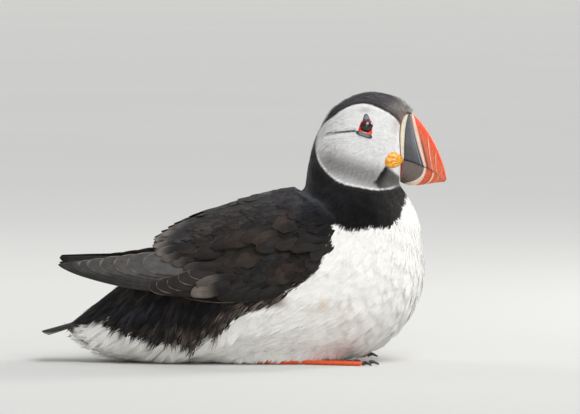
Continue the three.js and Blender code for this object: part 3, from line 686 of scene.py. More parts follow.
@dataclass(frozen=True)
class Markings:
    """Where the plumage changes colour, in side view, and the colours themselves.

    Places are [x, z] as seen from a low side view, so a place on the flank is compared
    at its height less VIEW_DROP times its distance from the middle plane.
    """

    cheek: tuple = (
        (41.4, 124.4), (42.4, 130.4), (44.1, 134.4), (46.9, 138.3), (52.4, 142.2),
        (56, 145.2), (62.6, 148.5), (69.3, 149.6), (74.8, 148.4), (80.4, 145.9),
        (84.9, 143.4), (88.2, 141), (90.2, 138.2), (93, 130), (93, 104), (91.8, 102.6),
        (85.7, 99.8), (77.4, 98.9), (66.3, 100.9), (58, 102.5), (52.4, 105.6),
        (47.4, 110), (43, 116.1))
    underparts: tuple = (
        (-108, 17.5), (-84.7, 22.2), (-77, 19.4), (-62.5, 15), (-48.1, 11), (-40.4, 12.1),
        (-25.9, 7.5), (-14.8, 16.5), (-7.1, 24.2), (4, 31), (15.1, 33.5), (22, 38),
        (30, 43), (38, 49), (44, 56), (48.5, 64), (50.5, 72), (51.3, 79.4), (56.5, 77.6),
        (61.8, 74.9), (68, 76.4), (75.1, 76.8), (84.7, 77.5), (89.8, 81.6), (92.8, 90.5),
        (95, 97.2), (99, 99.5), (130, 102), (130, -30), (-130, -30), (-130, 12))
    back: Colour = srgb(36, 31, 28)
    # slate: a painted blue-grey highlight where light from above falls on the shoulders and the top of
    # the back
    slate: Colour = srgb(74, 76, 84)
    flank: Colour = srgb(22, 20, 20)
    hood: Colour = srgb(13, 12, 13)
    # crown: the cap's own blackish grey lightened by painted sheen from light above
    crown: Colour = srgb(88, 84, 87)
    throat: Colour = srgb(46, 42, 40)
    white: Colour = srgb(246, 244, 240)
    face: Colour = srgb(231, 230, 229)
    buff: Colour = srgb(222, 205, 184)

    @cached_property
    def cheek_line(self) -> Points:
        """The cheek's outline with its corners rounded."""
        return rounded(self.cheek, 2)

    def seen(self, places: Points) -> Points:
        """Return [x, z] of each place as the side view shows it."""
        return np.stack([places[:, 0], places[:, 2] - VIEW_DROP * np.abs(places[:, 1])], axis=1)

    def darkness(self, places: Points) -> np.ndarray:
        """Signed distance to the white plumage, positive where the bird is dark.

        Args:
            places: One row for each place.

        Returns:
            One distance for each place, with the ragged edge of the feathers in it.
        """
        flat = self.seen(places)
        low = smoothstep(118, 106, flat[:, 1])
        cheek = outline_distance(self.cheek_line, flat)
        cheek = cheek + (0.04 + 0.10 * low) * ripple(places, 0.5, 3)
        cheek = cheek + (0.03 + 0.08 * low) * ripple(places, 1.8, 4)
        below = outline_distance(self.underparts, flat)
        hair = smoothstep(40, 10, flat[:, 0])
        ragged = (0.7 + 1.8 * hair) * ripple(places, 2.4, 5) + 0.8 * ripple(places, 0.9, 6)
        return np.minimum(cheek, below + ragged)

    def dark_tint(self, places: Points) -> np.ndarray:
        """Colour of the dark plumage at each place, with painted highlights on the shoulders, the
        wings, the cap and the forehead.

        Args:
            places: One row for each place.

        Returns:
            One linear colour for each place.
        """
        flat = self.seen(places)
        x, z = flat[:, 0], flat[:, 1]
        tint = even_tint(self.back, len(places))
        tint = blend(tint, self.flank, smoothstep(50, 30, z) * smoothstep(35, 20, x))
        patch = ripple(places, 9.0, 61)
        wing = smoothstep(36, 44, z) * smoothstep(56, 40, x)
        fleck = patch + 0.7 * ripple(places, 3.0, 65)
        tint = blend(tint, srgb(54, 43, 37), 0.75 * wing * smoothstep(0.2, 1.1, fleck))
        # painted highlight: bluish flecks where light glints on the dark wing feathers
        tint = blend(tint, srgb(34, 36, 41), 0.5 * wing * smoothstep(-0.3, -1.1, fleck))
        blue = smoothstep(-45, -52, x) * smoothstep(-90, -70, x) * smoothstep(34, 26, z)
        tint = blend(tint, srgb(28, 31, 38), 0.6 * blue * smoothstep(-0.2, 0.6, patch))
        brown = smoothstep(11, 2, outline_distance(self.underparts, flat))
        brown *= smoothstep(-75, -5, x) * smoothstep(45, 30, z)
        tint = blend(tint, srgb(104, 92, 82), brown * smoothstep(-0.5, 0.7, ripple(places, 2.2, 8)))
        collar = smoothstep(28, 36, x) * smoothstep(84, 100, z + 0.35 * x)
        tint = blend(tint, self.hood, collar)
        # painted highlight: the blue-grey sheen that light from above leaves on the shoulders and the
        # top of the back
        shoulder = spot(flat, (38, 93), (17, 8))
        shoulder += spot(flat, (24, 97), (13, 6))
        tint = blend(tint, self.slate, 0.38 * np.clip(shoulder, 0, 1.2)
                     * (0.75 + 0.35 * ripple(places, 3, 63)))
        throat = smoothstep(70, 92, x) * smoothstep(104, 92, z) * smoothstep(60, 80, z)
        tint = blend(tint, self.throat, 0.85 * throat)
        # the cap's top: its own dark grey and painted sheen from light above
        crown = smoothstep(136, 149, z + 0.10 * (x - 60)) * smoothstep(40, 60, x)
        tint = blend(tint, self.crown, crown)
        # painted highlight: back light catching the front of the forehead
        front = spot(flat, (90.5, 147.5), (5.5, 3.8))
        tint = blend(tint, srgb(166, 160, 154), 0.8 * front)
        # painted highlight: a pale glint along the forehead's ridge
        forehead_ridge_glint = smoothstep(5.0, 1.5, np.abs(places[:, 1])) * smoothstep(140, 144, z)
        tint = blend(tint, srgb(206, 203, 198), 0.55 * forehead_ridge_glint * smoothstep(86, 91, x))
        corner = spot(flat, (93.0, 141.8), (3.2, 3.6))
        tint = blend(tint, srgb(168, 146, 132), 0.7 * corner)
        border = smoothstep(2.6, 0.4, outline_distance(self.cheek_line, flat))
        return blend(tint, srgb(24, 22, 24), 0.75 * border * smoothstep(96, 90, x)
                     * (1 - 0.8 * corner))

    def white_tint(self, places: Points) -> np.ndarray:
        """Colour of the white plumage at each place, with painted shade on the lower face, in the
        furrow behind the eye and low on the rear belly.

        Args:
            places: One row for each place.

        Returns:
            One linear colour for each place.
        """
        flat = self.seen(places)
        x, z = flat[:, 0], flat[:, 1]
        tint = even_tint(self.white, len(places))
        head = smoothstep(2, -1, outline_distance(self.cheek_line, flat))
        tint = blend(tint, self.face, head)
        streak = 0.95 + 0.07 * ripple(places, 0.7, 64)
        # the lower face: its own greyer plumage and painted shade, darker towards the lower rear
        low = smoothstep(12.5, 1.0, line_distance((50, 114.5), (74, 106), flat))
        tint = blend(tint, srgb(98, 95, 91), np.clip(head * 0.86 * low * streak, 0, 1))
        behind = 0.80 * (x - 79.0) - 0.60 * (z - 108.3)
        length_wise = 0.60 * (x - 79.0) + 0.80 * (z - 108.3)
        behind = behind + 0.35 * ripple(places, 1.1, 67)
        within = smoothstep(-7.6, -4.2, length_wise + 0.08 * behind**2)
        within *= smoothstep(6.8, 5.2, length_wise)
        chin = within * smoothstep(-0.9, 0.2, behind) * smoothstep(20.0, 11.0, behind)
        tint = blend(tint, srgb(70, 67, 62), head * 0.92 * chin)
        fade = np.where(behind < 0.5, 0.7, 1.6 + 0.34 * (5 - length_wise))
        malar = within * band(behind, 0.5, fade)
        tint = blend(tint, srgb(20, 20, 22), head * malar)
        brow = spot(flat, (70.5, 145.6), (3.2, 1.5))
        tint = blend(tint, srgb(158, 152, 152), head * 0.5 * brow)
        socket = smoothstep(3.7, 3.2, np.hypot(x - 70.9, z - 136.2))
        tint = blend(tint, srgb(168, 30, 22), head * socket)
        # painted shade in the furrow that runs back from the eye
        taper = 0.35 + 0.65 * smoothstep(47, 60, x)
        crease = smoothstep(0.95 * taper, 0.2 * taper, line_distance(
            (47.7, 132.0), (64.6, 133.6), flat))
        tint = blend(tint, srgb(66, 60, 58), head * 0.95 * crease)
        lore = spot(flat, (89.5, 139), (3.0, 5))
        tint = blend(tint, srgb(205, 180, 165), head * 0.6 * lore)
        rim = smoothstep(1.1, 0.2, np.abs(outline_distance(self.cheek_line, flat) + 0.5))
        rim *= np.clip(0.55 + 0.35 * ripple(places, 1.4, 66), 0, 1)
        tint = blend(tint, srgb(250, 250, 250), head * rim * smoothstep(90, 86, x))
        buff = spot(flat, (46, 33), (9, 5))
        buff += 0.5 * spot(flat, (62, 26), (7, 7))
        buff += 0.35 * spot(flat, (20, 12), (12, 6))
        tint = blend(tint, self.buff, 0.8 * np.clip(buff, 0, 1)
                     * smoothstep(-0.4, 0.6, ripple(places, 4, 11)))
        # painted shade, patchy, on the low rear of the belly near the ground
        rear_belly_shade = smoothstep(-35, -52, x) * smoothstep(16, 2, z)
        tint = blend(tint, srgb(178, 176, 168), 0.55 * rear_belly_shade
                     * smoothstep(-0.3, 0.7, ripple(places, 5, 12)))
        shade = spot(flat, (57, 6.5), (10, 4.5))
        tint = blend(tint, srgb(194, 210, 213), 0.6 * shade)
        inside = smoothstep(-1.0, 1.5, outline_distance(self.underparts, flat))
        inside *= smoothstep(-40, -12, x) * smoothstep(46, 38, z) * smoothstep(30, 14, x)
        tint = blend(tint, srgb(84, 74, 65), 0.85 * inside)
        smudge = spot(flat, (20, 34.5), (5.0, 3.2))
        return blend(tint, srgb(122, 106, 94), 0.8 * smudge)


@dataclass(frozen=True)
class CoatLie:
    """The way the feathers point, led by guides in side view: x, z, then the way."""

    guides: tuple = (
        (95, 148, -0.75, 0.65), (84, 156, -1.0, 0.2), (60, 153, -0.95, -0.3),
        (44, 136, -0.55, -0.85), (84, 132, -1.0, 0.05), (66, 142, -0.95, 0.1),
        (55, 133, -0.97, -0.22), (80, 112, -0.75, -0.65), (62, 115, -0.8, -0.6),
        (46, 116, -0.45, -0.9), (70, 101, -0.35, -0.95), (90, 104, -0.5, -0.85),
        (38, 108, -0.5, -0.85), (60, 88, -0.4, -0.92), (95, 90, -0.1, -1.0),
        (106, 62, -0.25, -1.0), (80, 60, -0.5, -0.87), (100, 35, -0.6, -0.8),
        (62, 45, -0.72, -0.7), (80, 22, -0.85, -0.5), (45, 25, -0.93, -0.4),
        (20, 12, -0.98, -0.2), (-10, 6, -1.0, -0.15), (12, 34, -0.75, -0.66),
        (-12, 26, -0.5, -0.87), (-35, 24, -0.38, -0.93), (-55, 26, -0.55, -0.84),
        (-75, 26, -0.85, -0.5), (-60, 6, -0.93, -0.35), (-90, 14, -1.0, 0.05),
        (-60, 52, -0.85, -0.5), (-88, 32, -0.9, -0.42), (0, 92, -1.0, -0.25),
        (-35, 76, -0.85, -0.5), (30, 99, -0.95, -0.3), (40, 80, -0.8, -0.6),
        (20, 75, -0.9, -0.45), (-20, 70, -0.9, -0.42), (30, 56, -0.85, -0.5),
        (-10, 50, -0.95, -0.3))

    def directions(self, places: Points, normals: Points) -> np.ndarray:
        """Return the feathers' way at each place, along the skin.

        Args:
            places: One row for each place.
            normals: The skin's normal at each place.

        Returns:
            One unit vector for each place.
        """
        table = np.asarray(self.guides, float)
        gaps = places[:, None, [0, 2]] - table[None, :, :2]
        weight = 1 / (np.sum(gaps**2, axis=2) + 16.0) ** 2
        weight /= weight.sum(axis=1, keepdims=True)
        flat = weight @ table[:, 2:]
        way = np.stack([flat[:, 0], np.zeros(len(places)), flat[:, 1]], axis=1)
        way -= normals * np.sum(way * normals, axis=1, keepdims=True)
        weak = np.linalg.norm(way, axis=1) < 0.15
        way[weak] += (-0.2, 0, -0.05)
        return unit(way)


# ------------------------------------------------------------------ skin

@dataclass
class Skin:
    """The body's one skin, inside the flesh solids by the depth of the coat.

    Attributes:
        flesh: The CAD nodes that it takes the place of.
        voxel: Size of its faces.
        swell: How far the solids are swollen first, so that they join.
        smoothing: Rounds of smoothing over the joins.
        head_depth: Depth of the coat on the head and neck.
        body_depth: Depth on the body.
        wing_depth: Depth on the wings.
        bill_depth: Depth beside the bill.
        eye_depth: Depth beside the eyes.
        markings: The colours that it carries.
        lie: The way its feathers point.
    """

    flesh: tuple = ("trunk", "neck", "head", "scapulars_left", "scapulars_right",
                    "wing_coverts_left", "wing_coverts_right")
    voxel: float = 1.0
    swell: float = 0.45
    smoothing: int = 8
    head_depth: float = 0.3
    body_depth: float = 1.5
    wing_depth: float = 1.0
    bill_depth: float = 0.05
    eye_depth: float = 0.1
    markings: Markings = Markings()
    lie: CoatLie = CoatLie()

    def build(self) -> bpy.types.Object:
        """Remesh the flesh solids into one skin and store what the coat needs on it.

        Returns:
            The skin's object.
        """
        skin = self._merged()
        self._unwrap(skin)
        mesh = skin.data
        places = vertex_array(mesh)
        normals = self._calmed(mesh, read_all(mesh.vertices, "normal", 3).astype(float))
        head = self._headness(places)
        wing, covert = self._wing_shares(places)
        depth = self.body_depth + (self.head_depth - self.body_depth) * head
        depth = depth + (self.wing_depth - depth) * np.maximum(wing, covert)
        near_bill = smoothstep(85, 90, places[:, 0]) * smoothstep(98, 103, places[:, 2])
        depth += (self.bill_depth - depth) * near_bill
        near_eye = np.linalg.norm(self.markings.seen(places) - (70.9, 136.3), axis=1)
        depth += (self.eye_depth - depth) * smoothstep(9.5, 4.5, near_eye)
        places -= normals * (depth + self.swell)[:, None]
        places = self._level_eyes(places, normals)
        places = self._crease(places, normals)
        places[:, 2] = np.maximum(places[:, 2], LOWEST_SKIN)
        move_vertices(mesh, places)
        self._store(mesh, places, normals, head, wing, covert)
        mesh.materials.append(SkinFinish().material())
        return skin

    def _merged(self) -> bpy.types.Object:
        """Join copies of the flesh solids by a voxel remesh and smooth the joins."""
        work = bmesh.new()
        plugs = self._plugs()
        for mesh in [frame["nodes"][name].data for name in self.flesh] + plugs:
            solid = bmesh.new()
            solid.from_mesh(mesh)
            bmesh.ops.remove_doubles(solid, verts=solid.verts, dist=1e-6)
            solid.normal_update()
            for vert in solid.verts:
                vert.co += vert.normal * self.swell * MM
            copy = bpy.data.meshes.new("part")
            solid.to_mesh(copy)
            solid.free()
            work.from_mesh(copy)
            bpy.data.meshes.remove(copy)
        mesh = bpy.data.meshes.new("skin")
        work.to_mesh(mesh)
        work.free()
        skin = link_new("skin", mesh)
        remesh(skin, self.voxel, self.smoothing)
        return skin

    def _plugs(self) -> list[bpy.types.Mesh]:
        """Fill the eye sockets behind the lids."""
        face = Face()
        circle = face.at_eye([(5.8 * math.cos(a), 5.8 * math.sin(a))
                              for a in np.linspace(0, 2 * math.pi, 24, endpoint=False)])
        meshes = []
        for _, side in SIDES:
            bed = Boss("bed", circle, -0.9, 4.0, 12.0).shell(face.cheek(), side, "bed")
            meshes.append(bed.data)
            bpy.data.objects.remove(bed)
        return meshes

    def _unwrap(self, skin: bpy.types.Object) -> None:
        """Give the skin a UV map of its own shape, for the coat's patches."""
        skin.data.uv_layers.new(name="unwrap")
        bpy.context.view_layer.objects.active = skin
        skin.select_set(True)
        bpy.ops.object.mode_set(mode="EDIT")
        bpy.ops.mesh.select_all(action="SELECT")
        bpy.ops.uv.smart_project(angle_limit=math.radians(72), island_margin=0.004)
        bpy.ops.object.mode_set(mode="OBJECT")
        skin.select_set(False)

    @staticmethod
    def _calmed(mesh: bpy.types.Mesh, vectors: np.ndarray, rounds: int = 8) -> np.ndarray:
        """Even out a vector field over the mesh by averaging neighbours."""
        first, second = read_all(mesh.edges, "vertices", 2, np.int32).T
        for _ in range(rounds):
            total = vectors.copy()
            for axis in range(3):
                total[:, axis] += np.bincount(first, vectors[second, axis], len(vectors))
                total[:, axis] += np.bincount(second, vectors[first, axis], len(vectors))
            vectors = unit(total)
        return vectors

    def _headness(self, places: Points) -> np.ndarray:
        """Return 1 on the head and neck, 0 on the body, with a smooth change."""
        return smoothstep(96, 106, places[:, 2] + 0.33 * (places[:, 0] - 35)
                          * smoothstep(34, 40, places[:, 0])) * smoothstep(30, 37, places[:, 0])

    def _wing_shares(self, places: Points) -> tuple[np.ndarray, np.ndarray]:
        """Return how much each place belongs to the scapulars and to the coverts."""
        groups = (Carrier.of_nodes("scapulars_left", "scapulars_right"),
                  Carrier.of_nodes("wing_coverts_left", "wing_coverts_right"),
                  Carrier.of_nodes("trunk", "neck", "head"))
        gaps = np.array([[g.nearest(p)[2] for g in groups] for p in places])
        wing = smoothstep(-0.3, 0.6, np.minimum(gaps[:, 1], gaps[:, 2]) - gaps[:, 0])
        covert = smoothstep(-0.3, 0.6, np.minimum(gaps[:, 0], gaps[:, 2]) - gaps[:, 1])
        return wing, covert

    def _level_eyes(self, places: Points, normals: Points) -> Points:
        """Lay the skin flush with the cheek round each eye, and lower under its ring."""
        face = Face()
        flat = places[:, [0, 2]]
        near = smoothstep(8.0, 6.0, np.linalg.norm(flat - face.eye, axis=1))
        near *= smoothstep(0.3, 0.6, np.abs(normals[:, 1]))
        under = smoothstep(-0.4, -1.2, outline_distance(rounded(face.at_eye(face.ring_outline)), flat))
        level = face.cheek().half_width(flat) - 0.15 - 0.9 * under
        half = np.abs(places[:, 1])
        half += near * (level - half)
        return np.stack([places[:, 0], np.sign(places[:, 1]) * half, places[:, 2]], axis=1)

    def _crease(self, places: Points, normals: Points) -> Points:
        """Press in the furrow that runs back from each eye."""
        flat = self.markings.seen(places)
        near = smoothstep(2.2, 0.2, line_distance((48.5, 132.3), (64.0, 133.3), flat))
        return places - normals * (0.9 * near)[:, None]

    def _store(self, mesh: bpy.types.Mesh, places: Points, normals: Points,
               head: np.ndarray, wing: np.ndarray, covert: np.ndarray) -> None:
        """Store the colours, lie, sizes and areas that the coat is grown from."""
        marks = self.markings
        dark = marks.darkness(places)
        share = smoothstep(-0.4, 0.4, dark)
        dark_tint, white_tint = marks.dark_tint(places), marks.white_tint(places)
        paint(mesh, "tint", white_tint + (dark_tint - white_tint) * share[:, None])
        paint(mesh, "dark_tint", dark_tint)
        paint(mesh, "white_tint", white_tint)
        way = self._calmed(mesh, self.lie.directions(places, normals), 3)
        blades = self._blades(places, dark, head, np.maximum(wing, covert))
        flank = smoothstep(30, 8, places[:, 0]) * smoothstep(50, 42, places[:, 2])
        flank *= smoothstep(-84, -76, places[:, 0])
        at_tip = marks.darkness(places + way * (0.72 - 0.2 * flank[:, None]) * blades[:, :1])
        at_tip -= 1.2 * flank
        mixed = np.where((places[:, 0] > -14) & (places[:, 2] < 52), 0.5, 9.0)
        covered = (dark > 0.8) & (at_tip < 0) & (head < 0.5) & (ripple(places, 1.0, 51) < mixed)
        bend = self._nape_bend(places[:, 0], places[:, 2])[:, None]
        way = unit(way + bend * np.array([0.25, 0, -0.75]))
        hang = self._curtain(places, normals)
        normals = unit(normals - 0.8 * hang[:, None] * normals * (0, 0, 1))
        way = unit(way + hang[:, None] * ((-0.45, 0, -0.89) - way))
        store(mesh, "lie", way)
        foot_top = 1.0 + 1.9 * smoothstep(44, 52, places[:, 0])
        drop = np.clip((places[:, 2] - foot_top) / 0.85, 1.5, 12.0)
        blades[:, 0] += hang * (drop - blades[:, 0])
        blades[:, 1] += hang * (3.0 - blades[:, 1])
        store(mesh, "dark", at_tip)
        store(mesh, "skin_normal", normals)
        store(mesh, "blade", blades * MM)
        store(mesh, "bare", np.maximum(self._bare(places, normals), covered))
        self._areas(mesh, dark, at_tip, wing, covert)

    @staticmethod
    def _curtain(places: Points, normals: Points) -> np.ndarray:
        """Return how far the belly's down hangs over the foot at each place, 0 to 1."""
        x, y, z = places.T
        low = smoothstep(14, 6, z) * smoothstep(0.2, -0.1, normals[:, 2])
        return low * smoothstep(-16, 2, x) * smoothstep(68, 56, x) * smoothstep(15, 21, np.abs(y))

    def _blades(self, places: Points, dark: np.ndarray, head: np.ndarray,
                wing: np.ndarray) -> np.ndarray:
        """Return each tuft's length, width and lift, in millimetres."""
        flat = self.markings.seen(places)
        x, z = flat[:, 0], flat[:, 1]
        length = np.full(len(places), 10.5)
        length += 3.5 * smoothstep(60, 20, x) * smoothstep(60, 30, z)
        length += 3.5 * smoothstep(15, -15, x) * smoothstep(40, 20, z) * (dark > -6)
        length -= 2.0 * smoothstep(75, 100, x)
        length *= 1 - 0.5 * smoothstep(-76, -94, x)
        smooth = self._smooth_zone(x, z)
        length += (4.8 - length) * np.maximum(
            smooth, smoothstep(70, 92, z + 0.3 * (x - 40)) * smoothstep(33, 38, x))
        length += (3.1 - length) * head
        near_eye = np.linalg.norm(flat - (70.9, 136.5), axis=1)
        border = smoothstep(5.0, 1.0, np.abs(outline_distance(self.markings.cheek_line, flat)))
        small = np.maximum.reduce([smoothstep(12, 6, near_eye), smoothstep(84, 90, x), border])
        length *= 1 - 0.5 * head * small
        width = np.clip(length * 0.27, 0.7, 3.2)
        lift = np.clip(length * 0.06, 0.2, 0.9)
        length *= 1 - 0.55 * self._nape_bend(x, z)
        crown = smoothstep(90, 76, x) * smoothstep(116, 130, z) * smoothstep(0.5, 3.0, dark)
        nape = smoothstep(64, 50, x) * smoothstep(117, 126, z)
        length += head * (1.4 * crown + 2.2 * nape)
        lift += head * (0.75 * crown + 0.9 * nape)
        front = smoothstep(85, 91, x) * smoothstep(141, 146, z)
        length += 1.3 * front
        lift += 1.1 * front
        blades = np.stack([length, width, lift], axis=1)
        top = smoothstep(0.3, 0.7, np.maximum(wing, (x < 36) & (x > -42) & (z > 58)))
        top = (top * (1 - smooth))[:, None]
        vane = 8.6 + 3.2 * smoothstep(35, -40, x)
        vanes = np.stack([vane, 0.64 * vane, 0.075 * vane], axis=1)
        blades += (vanes - blades) * top
        back = smoothstep(6, 16, x) * smoothstep(44, 38, x) * smoothstep(86, 93, z)
        return blades * (1 - back[:, None] * np.array([0.42, 0.35, 0.8]))

    @staticmethod
    def _nape_bend(x: np.ndarray, z: np.ndarray) -> np.ndarray:
        """Return 1 in the hollow where the neck meets the back, 0 elsewhere."""
        return smoothstep(25, 28, x) * smoothstep(41, 37, x) * smoothstep(93, 97, z)

    @staticmethod
    def _smooth_zone(x: np.ndarray, z: np.ndarray) -> np.ndarray:
        """Return 1 on the smooth plumage that runs from the neck over the shoulder."""
        return smoothstep(-0.7, 0.7, z - 93 + 0.36 * (x - 19)) * smoothstep(17, 19, x)

    def _bare(self, places: Points, normals: Points) -> np.ndarray:
        """Return 1 where bare skin or another piece covers the skin, 0 elsewhere."""
        flat = self.markings.seen(places)
        x, y, z = places.T
        lids = ((66.9, 136.4), (68.6, 140.4), (70.2, 144.4), (71.6, 144.4), (74.0, 141.0),
                (75.5, 138.0), (75.6, 134.4), (74.9, 130.4), (71, 130.6), (65.4, 132.8))
        rosette = np.linalg.norm((flat - (87.4, 117.3)) / (5.5, 4.3), axis=1) - 1
        bare = (outline_distance(lids, flat) < 0.1) | (rosette < 0)
        bare |= (normals[:, 0] > 0.75) & (x > 88) & (z > 101.5) & (z < 140)
        bare |= (np.abs(y) < 7.5) & (x > 90.8) & (z > 102.5) & (z < 139)
        bare |= (z < 1.2) & (normals[:, 2] < -0.5)
        bare |= (x < -97.5) & (np.abs(y) < 20)
        bare |= (x < -30) & (z > 52) & (np.abs(y) > 17)
        bare |= (x < -6) & (x > -40) & (flat[:, 1] < 45) & (flat[:, 1] > 36) & (np.abs(y) > 30)
        return bare.astype(float)

    def _areas(self, mesh: bpy.types.Mesh, dark: np.ndarray, at_tip: np.ndarray,
               wing: np.ndarray, covert: np.ndarray) -> None:
        """Store which area each face of the skin belongs to."""
        starts = read_all(mesh.polygons, "loop_start", kind=np.int32)
        first = read_all(mesh.loops, "vertex_index", kind=np.int32)[starts]
        places = vertex_array(mesh)[first]
        flat = self.markings.seen(places)
        x, z = flat[:, 0], flat[:, 1]
        on_head = outline_distance(self.markings.cheek, flat) < 1.5
        neck = z + 0.36 * (x - 36) > 98
        area = np.where(dark[first] < 0, Area.BREAST.value, Area.FLANK.value)
        white = np.where(x < 40, at_tip[first], dark[first] - 1.5) < 0
        top = (x < 36.5) & (x > -42) & (np.abs(places[:, 1]) < 24) & (z > 58) & ~on_head
        smooth = (self._smooth_zone(x, z) > 0.5) & ~on_head & ~white
        for inside, kind in (
                (white & (x < 44), Area.BELLY), (white & (x < -12), Area.VENT),
                (white & (x >= 44), Area.BREAST), (~white & (z > 40) & (x < 30), Area.RUMP),
                (~white & (x > 30) & neck, Area.HOOD), (~white & (x > 52) & (z > 70), Area.HOOD),
                ((places[:, 2] > 101) & (x > 36.5), Area.HOOD), (on_head, Area.FACE),
                ((wing[first] > 0.5) | top, Area.MANTLE), (covert[first] > 0.5, Area.COVERTS),
                (smooth, Area.HOOD)):
            area[inside] = kind.value
        layer = mesh.attributes.new("area", "INT", "FACE")
        layer.data.foreach_set("value", area.astype(np.int32))


# ------------------------------------------------------------------ the coat

class Tuft(Enum):
    """Shapes of tuft that the coat is planted with."""

    VELVET = "velvet"
    DOWN = "down"
    HAIR = "hair"
    VANE = "vane"


@dataclass(frozen=True)
class TuftPattern:
    """Makes the few tufts that one shape of coat repeats.

    A tuft is one unit long along X, one wide along Y and one high along Z; the coat
    stretches it to the size stored on the skin.
    """

    shape: Tuft
    variants: int = 5
    seed: int = 21

    def build(self) -> bpy.types.Collection:
        """Build every variant.

        Returns:
            The collection that holds them.
        """
        holder = bpy.data.collections.new("tufts_" + self.shape.value)
        bpy.context.scene.collection.children.link(holder)
        rng = np.random.default_rng(self.seed)
        for index in range(self.variants):
            rows = self._vane(rng) if self.shape is Tuft.VANE else self._strands(rng)
            holder.objects.link(self._object(index, *rows))
        return holder

    def _strands(self, rng: np.random.Generator) -> tuple:
        """Make a fan of tapering strands that rise a little and lie back."""
        number, wide, spread, steps = {
            Tuft.VELVET: (4, 0.2, 0.9, (0, 0.55, 1)),
            Tuft.DOWN: (7, 0.125, 1.25, (0, 0.35, 0.72, 1)),
            Tuft.HAIR: (6, 0.105, 0.9, (0, 0.3, 0.66, 1))}[self.shape]
        points, faces, along, across = [], [], [], []
        for k in range(number):
            offset = (k + 0.5) / number - 0.5
            root = offset * 0.75 + rng.uniform(-0.06, 0.06)
            tip = offset * spread + rng.uniform(-0.12, 0.12)
            reach = rng.uniform(0.78, 1.08) * (1 - 0.25 * abs(offset))
            rise = rng.uniform(0.6, 1.05)
            bend = rng.uniform(-0.07, 0.07)
            start = len(points)
            for t in steps[:-1]:
                y = root + (tip - root) * t**1.3 + bend * math.sin(math.pi * t)
                z = rise * math.sin(math.pi * min(1, 0.12 + 0.72 * t)) - 0.25 * (1 - t)
                half = wide * (1.0 - 0.35 * t) * (1 if self.shape is not Tuft.HAIR else 0.8)
                for sign in (-1, 1):
                    points.append((reach * t, y + sign * half, z - 0.12))
                    along.append(t)
                    across.append(sign * 0.5)
            points.append((reach, tip, 0.42 * rise))
            along.append(1.0)
            across.append(0.0)
            for r in range(len(steps) - 2):
                a = start + 2 * r
                faces.append((a, a + 2, a + 3, a + 1))
            a = start + 2 * (len(steps) - 2)
            faces.append((a, a + 2, a + 1))
        return points, faces, along, across

    def _vane(self, rng: np.random.Generator) -> tuple:
        """Make a rounded contour feather, arched across, with a slightly frayed tip."""
        rows, columns = 7, 7
        points, faces, along, across = [], [], [], []
        skew = rng.uniform(-0.06, 0.06)
        fray = rng.uniform(-0.03, 0.03, columns)
        for i in range(rows):
            t = i / (rows - 1)
            full = min(1.0, 0.45 + 1.6 * t) * math.sqrt(max(0.0, 1 - max(0.0, (t - 0.5) / 0.5) ** 2.3))
            full = max(full, 0.05)
            for j in range(columns):
                s = 2 * j / (columns - 1) - 1
                reach = t * (1 + fray[j] * t**3) - 0.03 * t * s * s
                height = 0.75 * t**0.8 - 0.55 * s * s * (0.4 + 0.6 * t) + 0.18 * math.sin(math.pi * t)
                points.append((reach, 0.5 * s * full + skew * t, height - 0.45))
                along.append(t)
                across.append(s)
        faces = grid_faces(rows, columns)
        return points, faces, along, across

    def _object(self, index: int, points: list, faces: list, along: list,
                across: list) -> bpy.types.Object:
        """Make one tuft's object, with its layout for the bake stored on it."""
        mesh = bpy.data.meshes.new(f"tuft_{self.shape.value}_{index}")
        mesh.from_pydata(points, [], faces)
        flip = [f for f in mesh.polygons if f.normal.z < 0]
        if len(flip) > len(mesh.polygons) / 2:
            mesh.flip_normals()
        mesh.shade_smooth()
        store(mesh, "along", along)
        store(mesh, "across", across)
        flat = np.asarray(points, np.float32).copy()
        flat[:, 0] = np.clip(flat[:, 0], 0, 1)
        flat[:, 1] = np.clip(flat[:, 1] + 0.5, 0, 1)
        flat[:, 2] = 0
        store(mesh, "layout", flat)
        return bpy.data.objects.new(mesh.name, mesh)


